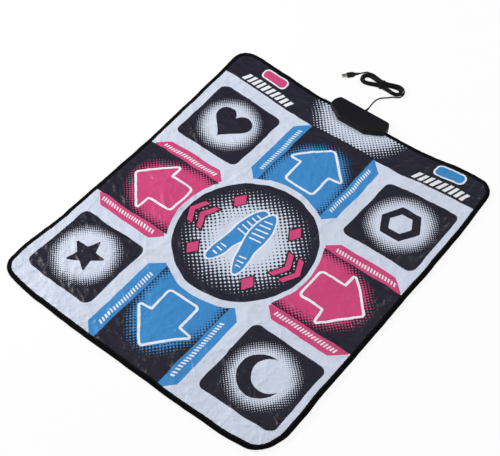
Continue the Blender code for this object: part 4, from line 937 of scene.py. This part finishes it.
def printedVinyl():
    # calendered soft PVC, screen printed: satin, a fine emboss from the roller, small crinkles where it has been folded
    look = vinylLook
    material, tree, shader = newMaterial("screenPrintedVinyl",
                                         {"IOR": look["ior"], "Specular IOR Level": look["specular"]})
    paper, ink, screen = (addNode(tree, "Attribute", attribute_name=name) for name in ("paper", "ink", "screen"))
    parts = addNode(tree, "SeparateXYZ", {0: screen.outputs["Vector"]})
    # the screen's height is (cos x + cos y) / 4 - 1 / 2 plus the tone, and paper shows where it is over 0
    waves = []
    for axis in ("X", "Y"):
        phase = addNode(tree, "Math", {0: parts.outputs[axis], 1: 2 * math.pi}, operation="MULTIPLY")
        waves.append(addNode(tree, "Math", {0: phase}, operation="COSINE"))
    both = addNode(tree, "Math", dict(enumerate(waves)), operation="ADD")
    dots = addNode(tree, "Math", {0: both, 1: 0.25, 2: -0.5}, operation="MULTIPLY_ADD")
    level = addNode(tree, "Math", {0: dots, 1: parts.outputs["Z"]}, operation="ADD")
    sharp = look["edgeSharp"]
    cover = ranged(tree, level, 0.0, 1.0, -sharp, sharp)
    cover.interpolation_type = "SMOOTHSTEP"
    colour = addNode(tree, "Mix", {0: cover, 6: ink.outputs["Color"], 7: paper.outputs["Color"]}, data_type="RGBA")
    place = addNode(tree, "TexCoord").outputs["Object"]
    tint = ranged(tree, noiseOf(tree, place, look["cloud"], 3.0), *look["tint"])
    toned = addNode(tree, "VectorMath", {0: colour.outputs[2], "Scale": tint}, operation="SCALE")
    feed(tree, shader, {"Base Color": toned})
    rough = ranged(tree, noiseOf(tree, place, look["wear"], 4.0), *look["roughness"])
    feed(tree, shader, {"Roughness": rough})
    ridges = addNode(tree, "TexNoise", {
        "Vector": place, "Scale": 1 / look["ridge"], "Detail": 1.6, "Roughness": 0.55, "Offset": 0.9, "Gain": 1.6,
        "Distortion": 0.4}, noise_type="RIDGED_MULTIFRACTAL", normalize=True)
    crinkles = addNode(tree, "TexNoise", {
        "Vector": place, "Scale": 1 / look["crinkle"], "Detail": 2.2, "Distortion": 0.8})
    layeredBump(tree, shader, (ridges, *look["ridgeBump"]), (crinkles, *look["crinkleBump"]),
                (noiseOf(tree, place, look["grain"]), *look["grainBump"]))
    return material


printed = printedVinyl()
# the unprinted back of the cover's vinyl: pale, matt, with the calender's grain
vinylBack = finish("unprintedVinylBack", "#b9bccb", roughness=0.55, cloud=60, vary=0.04, grain=0.9, relief=0.3)
# the underside, foamed PVC that grips the floor: nearly black, dull, with a pebbled skin
nonSlip = finish("foamedNonSlipPvc", "#29292d", roughness=0.8, cloud=45, vary=0.12, grain=2.2, relief=0.9, specular=0.3)
# the switch layers: clear polyester film, white polyethylene foam, and grey polyurethane foam
clearFilm = finish("polyesterFilm", "#cfd3d0", roughness=0.16, cloud=30, vary=0.03, grain=6, relief=0.1, ior=1.6)
whiteFoam = finish("closedCellWhiteFoam", "#e6e5de", roughness=0.9, cloud=20, vary=0.04, grain=0.7, relief=0.8,
                   specular=0.2)
greyFoam = finish("openCellGreyFoam", "#76777a", roughness=0.95, cloud=15, vary=0.08, grain=1.0, relief=1.0,
                  specular=0.1)
# each layer inside, from below: its node, material and slot, whether it has a window at each zone, and its tail's half
# width and distance from the mat's back edge
innerLook = {"tuck": 0.3 * mm, "window": 0.5 * mm, "spacing": 16 * mm, "layers": {
    "contact_film_lower": ("lower_film", clearFilm, "clear_film", False, None),
    "spacer_layer": ("spacer_foam", whiteFoam, "white_foam", True, None),
    "contact_film_upper": ("upper_film", clearFilm, "clear_film", True, (14 * mm, 30.5 * mm)),
    "cushion_layer": ("cushion_foam", greyFoam, "grey_foam", True, None)}}


# outlines of the cover, its zones and the control box, all in the print's plane

# foot: how far in the lid's lower rim stands, and how high up the wall is at its full width; innerEdge: how deep the
# lid's inside edge is, as a share of the outside one's radius
boxLook = {"frontHalf": 40 * mm, "front": 43 * mm, "shoulderHalf": 86 * mm, "shoulderFront": 16 * mm,
           "shoulderBack": 3 * mm, "backHalf": 78 * mm, "overhang": 21 * mm, "edge": 3.2 * mm, "wall": 2 * mm,
           "radii": [8.4 * mm, 8.4 * mm, 6 * mm, 6 * mm, 12 * mm, 12 * mm, 6 * mm, 6 * mm], "leastRadius": 0.8 * mm,
           "foot": (0.2 * mm, 0.3 * mm), "innerEdge": 0.6}
coverLook = {"inset": 1.8 * mm, "cornerRadius": 46 * mm, "tuck": 4 * mm, "spacing": 3.7 * mm, "bottomInset": 12.3 * mm,
             "bottomThickness": 0.6 * mm, "bottomSpacing": 14 * mm, "screwHole": 3.6 * mm, "screwInside": 6 * mm,
             "tailRadius": 2 * mm}


def boxOutline(grow):
    # the control box in plan, from its front left corner, counter-clockwise
    look = boxLook
    x, y = boxBack[0] - printCentre[0], matHigh[1]
    right = [(look["frontHalf"], -look["front"]), (look["shoulderHalf"], -look["shoulderFront"]),
             (look["shoulderHalf"], look["shoulderBack"]), (look["backHalf"], look["overhang"])]
    left = [(-sideways, along) for sideways, along in right]
    return growOutline(np.array([left[0], *right, *left[:0:-1]]) + (x, y), grow)


def layerOutline(look, tuck, tail=None):
    # the mat's outline inside its binding, with the control box's front let in, and a tail that runs on under the box;
    # the radii at the box are those of the box
    low, high = matLow + look["inset"], matHigh - look["inset"]
    box = boxOutline(-tuck)
    corners = [low, (high[0], low[1]), high, (box[2, 0], high[1]), box[2], box[1], box[0], box[7], (box[7, 0], high[1]),
               (low[0], high[1])]
    radius, (front, _, shoulder) = look["cornerRadius"] - look["inset"], boxLook["radii"][:3]
    radii = [radius, radius, radius, 0, shoulder, front, front, shoulder, 0, radius]
    if tail:
        middle, root, tip = box[:2, 0].mean(), box[0, 1], matHigh[1] - tail[1]
        right, left = middle + tail[0], middle - tail[0]
        corners[6:6] = [(right, root), (right, tip), (left, tip), (left, root)]
        radii[6:6] = [0, look["tailRadius"], look["tailRadius"], 0]
    return cutCorners(corners, radii)


def zoneOutline(pad):
    # a rounded box, or for an arrow a panel with a round inner end and two rounded corners
    look = zoneLook
    if pad not in arrowPads:
        low, high = printBoxOf(pad)
        radius = look["cornerRadius"] if pad in cornerPads else look["menuRadius"]
        return fineOutline(roundedBox((low + high) / 2, *(high - low), radius), look["spacing"])
    turns = arrowPads.index(pad)
    half, reach = arrowSize(pad, turns)
    spread = np.linspace(-1, 1, 60) * math.asin(half / look["innerRadius"])
    arc = look["innerRadius"] * onCircle(spread)[:, ::-1]
    corners = np.vstack([arc, [(half, reach), (-half, reach)]])
    outline = cutCorners(corners, [0] * len(arc) + [look["arrowCorner"]] * 2)
    return fineOutline(turned(outline, turns), look["spacing"])


zones = {pad: zoneOutline(pad) for pad in cornerPads + menuPads + arrowPads}


def buildZone(index, pad, outline):
    # a press zone: the cover's skin with the foam under it, crowned over its window
    look = zoneLook
    flat, faces = triangulate(outline, [], look["spacing"], linesOver(outline))
    depth = padDepths(flat[:, 0], flat[:, 1])[index][0]
    share = smoothstep(*look["foamFrom"], depth)
    underside = laid(flat, coverUnder - (coverUnder - foamUnder) * share, 1 - share)
    name = pad.replace("_pad", "_zone")
    piece = printedSkin(name, flat, faces, underside)
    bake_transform(piece)
    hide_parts(pad)
    return len(faces)


def buildMat(look):
    total = sum(buildZone(index, pad, outline) for index, (pad, outline) in enumerate(zones.items()))
    print(f"ten press zones built, {total} triangles on top")
    outline = layerOutline(look, look["tuck"])
    flat, faces = triangulate(outline, list(zones.values()), look["spacing"], linesOver(outline))
    cover = printedSkin("printed_cover", flat, faces, laid(flat, coverUnder))
    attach(cover, "mat")
    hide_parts("top_cover")
    print(f"cover built, {len(faces)} triangles on top")
    low, high = matLow + look["bottomInset"], matHigh - look["bottomInset"]
    rim = roundedBox((low + high) / 2, *(high - low), look["cornerRadius"] - look["bottomInset"])
    screws = [printMiddleOf(name) for name in sorted(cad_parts) if name.startswith("box_screw")]
    within = isInside(np.array(screws), growOutline(rim, -look["screwInside"]))
    screwHoles = [ovalOutline(screw, look["screwHole"], look["screwHole"], 24)
                  for screw, held in zip(screws, within) if held]
    flat, faces = triangulate(rim, screwHoles, look["bottomSpacing"])
    sheet = plainSkin("non_slip_sheet", flat, faces, look["bottomThickness"], 0.0, nonSlip)
    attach(sheet, "mat")
    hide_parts("bottom_sheet")
    binding = buildBinding(bindingLook)
    for name, (node, material, slot, windowed, tail) in innerLook["layers"].items():
        around = layerOutline(look, innerLook["tuck"], tail)
        windows = [growOutline(zone, innerLook["window"]) for zone in zones.values()] if windowed else []
        flat, faces = triangulate(around, windows, innerLook["spacing"])
        bottom, top = cadBoxOf(node)[:, 2]
        layer = plainSkin(name, flat, faces, top, bottom, material)
        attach(layer, "mat")
        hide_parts(node)


# thread: where a stitch starts to fade out and where it ends, along it as shares of a stitch, and across it in metres
bindingLook = {"width": 12 * mm, "edge": 8.4 * mm, "gap": 0.15 * mm, "tape": 0.55 * mm, "inner": 1.5 * mm + 0.7 * mm,
               "spacing": 2.6 * mm, "rib": 1.1 * mm, "stitch": 4.2 * mm, "seam": 2.6 * mm, "reach": 86.4 * mm,
               "colour": "#070708", "threadColour": "#2a2a2f", "threadAlong": (0.32, 0.40),
               "threadAcross": (0.30 * mm, 0.55 * mm), "ribBump": (0.25, 0.25 * mm), "threadBump": (0.8, 0.5 * mm),
               # the section's outside, over the nose: share of the width and height over the nose's top or the lip
               "underFold": 0.7, "shoulder": (0.62, -0.05 * mm), "slope": (0.86, 0.1 * mm), "lipShare": 0.8}


def wovenTape(look):
    # woven polyester binding tape: dead black and matt, fine ribs across it, a lockstitch of black thread near each lip
    material, tree, shader = newMaterial("wovenBindingTape", {"Roughness": 0.9, "Specular IOR Level": 0.08})
    place = addNode(tree, "Attribute", attribute_name="tape")
    parts = addNode(tree, "SeparateXYZ", {0: place.outputs["Vector"]})
    phase = addNode(tree, "Math", {0: parts.outputs["X"], 1: 2 * math.pi / look["rib"]}, operation="MULTIPLY")
    ribs = addNode(tree, "Math", {0: phase}, operation="SINE")
    stitch = look["stitch"]
    alongStitch = addNode(tree, "Math", {0: parts.outputs["X"], 1: stitch / 2}, operation="PINGPONG")
    fromSeam = addNode(tree, "Math", {0: parts.outputs["Y"], 1: look["seam"]}, operation="SUBTRACT")
    offSeam = addNode(tree, "Math", {0: fromSeam}, operation="ABSOLUTE")
    onThread = addNode(tree, "Math", {
        0: ranged(tree, alongStitch, 1.0, 0.0, *(stitch * share for share in look["threadAlong"])),
        1: ranged(tree, offSeam, 1.0, 0.0, *look["threadAcross"])}, operation="MULTIPLY")
    tone = addNode(tree, "Mix", {0: onThread, 6: srgb(look["colour"]), 7: srgb(look["threadColour"])}, data_type="RGBA")
    feed(tree, shader, {"Base Color": tone.outputs[2]})
    layeredBump(tree, shader, (ribs, *look["ribBump"]), (onThread, *look["threadBump"]))
    return material


def bindingSection(look):
    # the folded tape as a closed section: distance in from the edge and height, from the lip under the mat round the
    # nose to the lip on top, and back along the inside
    width, edge = look["width"], look["edge"]
    nose = edge / 2 + edge / 2 * onCircle(np.linspace(-math.pi / 2, math.pi / 2, 13)) * (-1, 1)
    lip, under, inner = coverTop + look["gap"], coverLook["bottomThickness"], look["inner"]
    (shoulder, lower), (slope, higher) = look["shoulder"], look["slope"]
    return np.vstack([[(width, 0.0), (width * look["underFold"], 0.0)], nose, [
        (width * shoulder, edge + lower), (width * slope, lip + look["tape"] + higher),
        (width, lip + look["tape"] * look["lipShare"]), (width, lip), (inner, lip), (inner, under), (width, under)]])


def buildBinding(look):
    # the section carried round the mat, from one side of the control box to the other
    middle = boxBack[0] - printCentre[0]
    loop = cutCorners([(middle, matHigh[1]), (matLow[0], matHigh[1]), matLow, (matHigh[0], matLow[1]), matHigh],
                      [0] + [coverLook["cornerRadius"]] * 4, 14)
    ends = np.array([(middle - look["reach"], matHigh[1]), (middle + look["reach"], matHigh[1])])
    path, wanted = evenly(np.vstack([ends[:1], loop[1:], ends[1:]]), look["spacing"])
    along = units(np.gradient(path, axis=0))
    inward = np.stack([-along[:, 1], along[:, 0]], axis=1)
    section = bindingSection(look)
    flat = (path[:, None] + inward[:, None] * section[None, :, :1]).reshape(-1, 2)
    z = np.tile(section[:, 1], len(path))
    points = laid(flat, z, np.clip(z / coverTop, 0, 1))
    count, across = len(section), distancesAlong(section)
    faces = gridFaces(len(path), count, True).tolist()
    faces += [list(range(count))[::-1], list(range(len(points) - count, len(points)))]
    binding = newPiece("folded_binding", points, faces, [wovenTape(look)])
    # the tape's own coordinates: how far along the edge, and how far from the nearer of its two lips, the first point
    # of the section and the fifth from its end
    fromLip = np.minimum(across, np.abs(across[-5] - across))
    values = np.stack([np.repeat(wanted, count), np.tile(fromLip, len(path)), np.zeros(len(points))], axis=1)
    binding.data.attributes.new("tape", "FLOAT_VECTOR", "POINT").data.foreach_set("vector", values.ravel())
    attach(binding, "mat")
    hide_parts("edge_binding")
    return binding


buildMat(coverLook)
print("mat built")


# moulded ABS of the control box: black, spark-eroded fine grain, satin
boxAbs = finish("mouldedBlackAbs", "#0a0a13", roughness=0.46, cloud=18, vary=0.10, grain=0.7, relief=0.35, ior=1.54,
                specular=0.22)


def buildLid(look):
    # the box's lid: its outline carried up the wall, over a rounded edge and in to the top, then back down inside
    def ring(inset, height):
        radii = [max(radius - inset, look["leastRadius"]) for radius in look["radii"]]
        outline = cutCorners(boxOutline(-inset), radii, 10) + printCentre
        return np.column_stack([outline, np.full(len(outline), height)])

    low, high, edge, wall = lidLow[2], lidHigh[2], look["edge"], look["wall"]
    angle = np.linspace(0, math.pi / 2, 9)
    outer = [ring(look["foot"][0], low), ring(0, low + look["foot"][1])]
    outer += [ring(edge * (1 - math.cos(a)), high - edge + edge * math.sin(a)) for a in angle]
    inner = [ring(wall + edge, high - wall), ring(wall, high - wall - edge * look["innerEdge"]), ring(wall, low)]
    count = len(outer[0])
    start = len(outer) * count
    last = start + (len(inner) - 1) * count
    faces = gridFaces(len(outer), count, True).tolist() + [list(range(start - count, start))]
    faces += (gridFaces(len(inner), count, True) + start).tolist() + [list(range(start, start + count))[::-1]]
    faces += [(last + i, last + (i + 1) % count, (i + 1) % count, i) for i in range(count)]
    lid = newPiece("control_box_lid", np.vstack(outer + inner), faces, [boxAbs])
    lid.data.set_sharp_from_angle(angle=math.radians(35))
    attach(lid, "mat")
    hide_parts("box_lid")


buildLid(boxLook)
print("control box lid built")


# the finishes of the model's own pieces, by the starts of their names
ownFinishes = [
    (("box_base",), boxAbs),
    (("inner_lead",), cordVinyl),
    # carbon ink, screen printed on the films: matt black, slightly speckled
    (("corner_", "arrow_", "menu_"),
     finish("printedCarbonInk", "#262627", roughness=0.62, cloud=9, vary=0.15, grain=0.35, relief=0.4)),
    # zinc-plated self-tapping screws: pale, slightly blue, faintly brushed round
    (("box_screw", "clamp_screw"),
     finish("zincPlatedSteel", "#b9bdc4", roughness=0.30, cloud=2.5, vary=0.08, grain=0.25, relief=0.3, metallic=1.0,
            stretch=(1, 1, 0.2))),
    # glass-fibre board under green solder mask: glossy over the weave of the glass
    (("circuit_board",),
     finish("greenSolderMask", "#27683c", roughness=0.30, cloud=7, vary=0.14, grain=0.6, relief=0.25, ior=1.55)),
    # a drop of black epoxy over the chip: shiny, uneven as it set
    (("chip_blob",),
     finish("pottedBlackEpoxy", "#121214", roughness=0.16, cloud=3, vary=0.1, grain=1.6, relief=0.3, ior=1.56)),
    # drawn steel can of the crystal: nickel grey, faint draw marks up its sides
    (("crystal",),
     finish("drawnSteelCan", "#a9a9a6", roughness=0.26, cloud=3, vary=0.06, grain=0.3, relief=0.25, metallic=1.0,
            stretch=(1, 1, 0.15))),
    # heat-shrunk sleeve of the capacitor: dark, glossy
    (("capacitor",),
     finish("shrunkPvcSleeve", "#17181d", roughness=0.24, cloud=4, vary=0.1, grain=0.9, relief=0.15)),
    # glass-filled nylon of the clamp bar and the plug's tongue: off-white, slightly waxy
    (("clamp_bar", "plug_tongue"),
     finish("mouldedWhiteNylon", "#dedcd2", roughness=0.48, cloud=6, vary=0.04, grain=0.5, relief=0.25)),
    # moulded soft PVC of the strain relief, the plug's grip and the tie: black, matter than the lead
    (("strain_relief", "plug_body", "cord_tie"),
     finish("mouldedSoftPvc", "#0b0b0c", roughness=0.55, cloud=9, vary=0.12, grain=0.45, relief=0.4, specular=0.25)),
    # folded and nickel-plated steel of the plug's shell: bright, with fine rolling marks
    (("plug_shell",),
     finish("nickelPlatedSteel", "#c9c6bd", roughness=0.22, cloud=4, vary=0.06, grain=0.3, relief=0.2, metallic=1.0,
            stretch=(0.25, 1, 1))),
]


def dressOwnPieces():
    dressed = 0
    for starts, material in ownFinishes:
        for name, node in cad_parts.items():
            if name.startswith(starts) and node.type == "MESH":
                for holder in node.material_slots:
                    holder.material = material
                dressed += 1
    print(f"{dressed} of the model's own pieces dressed")


dressOwnPieces()
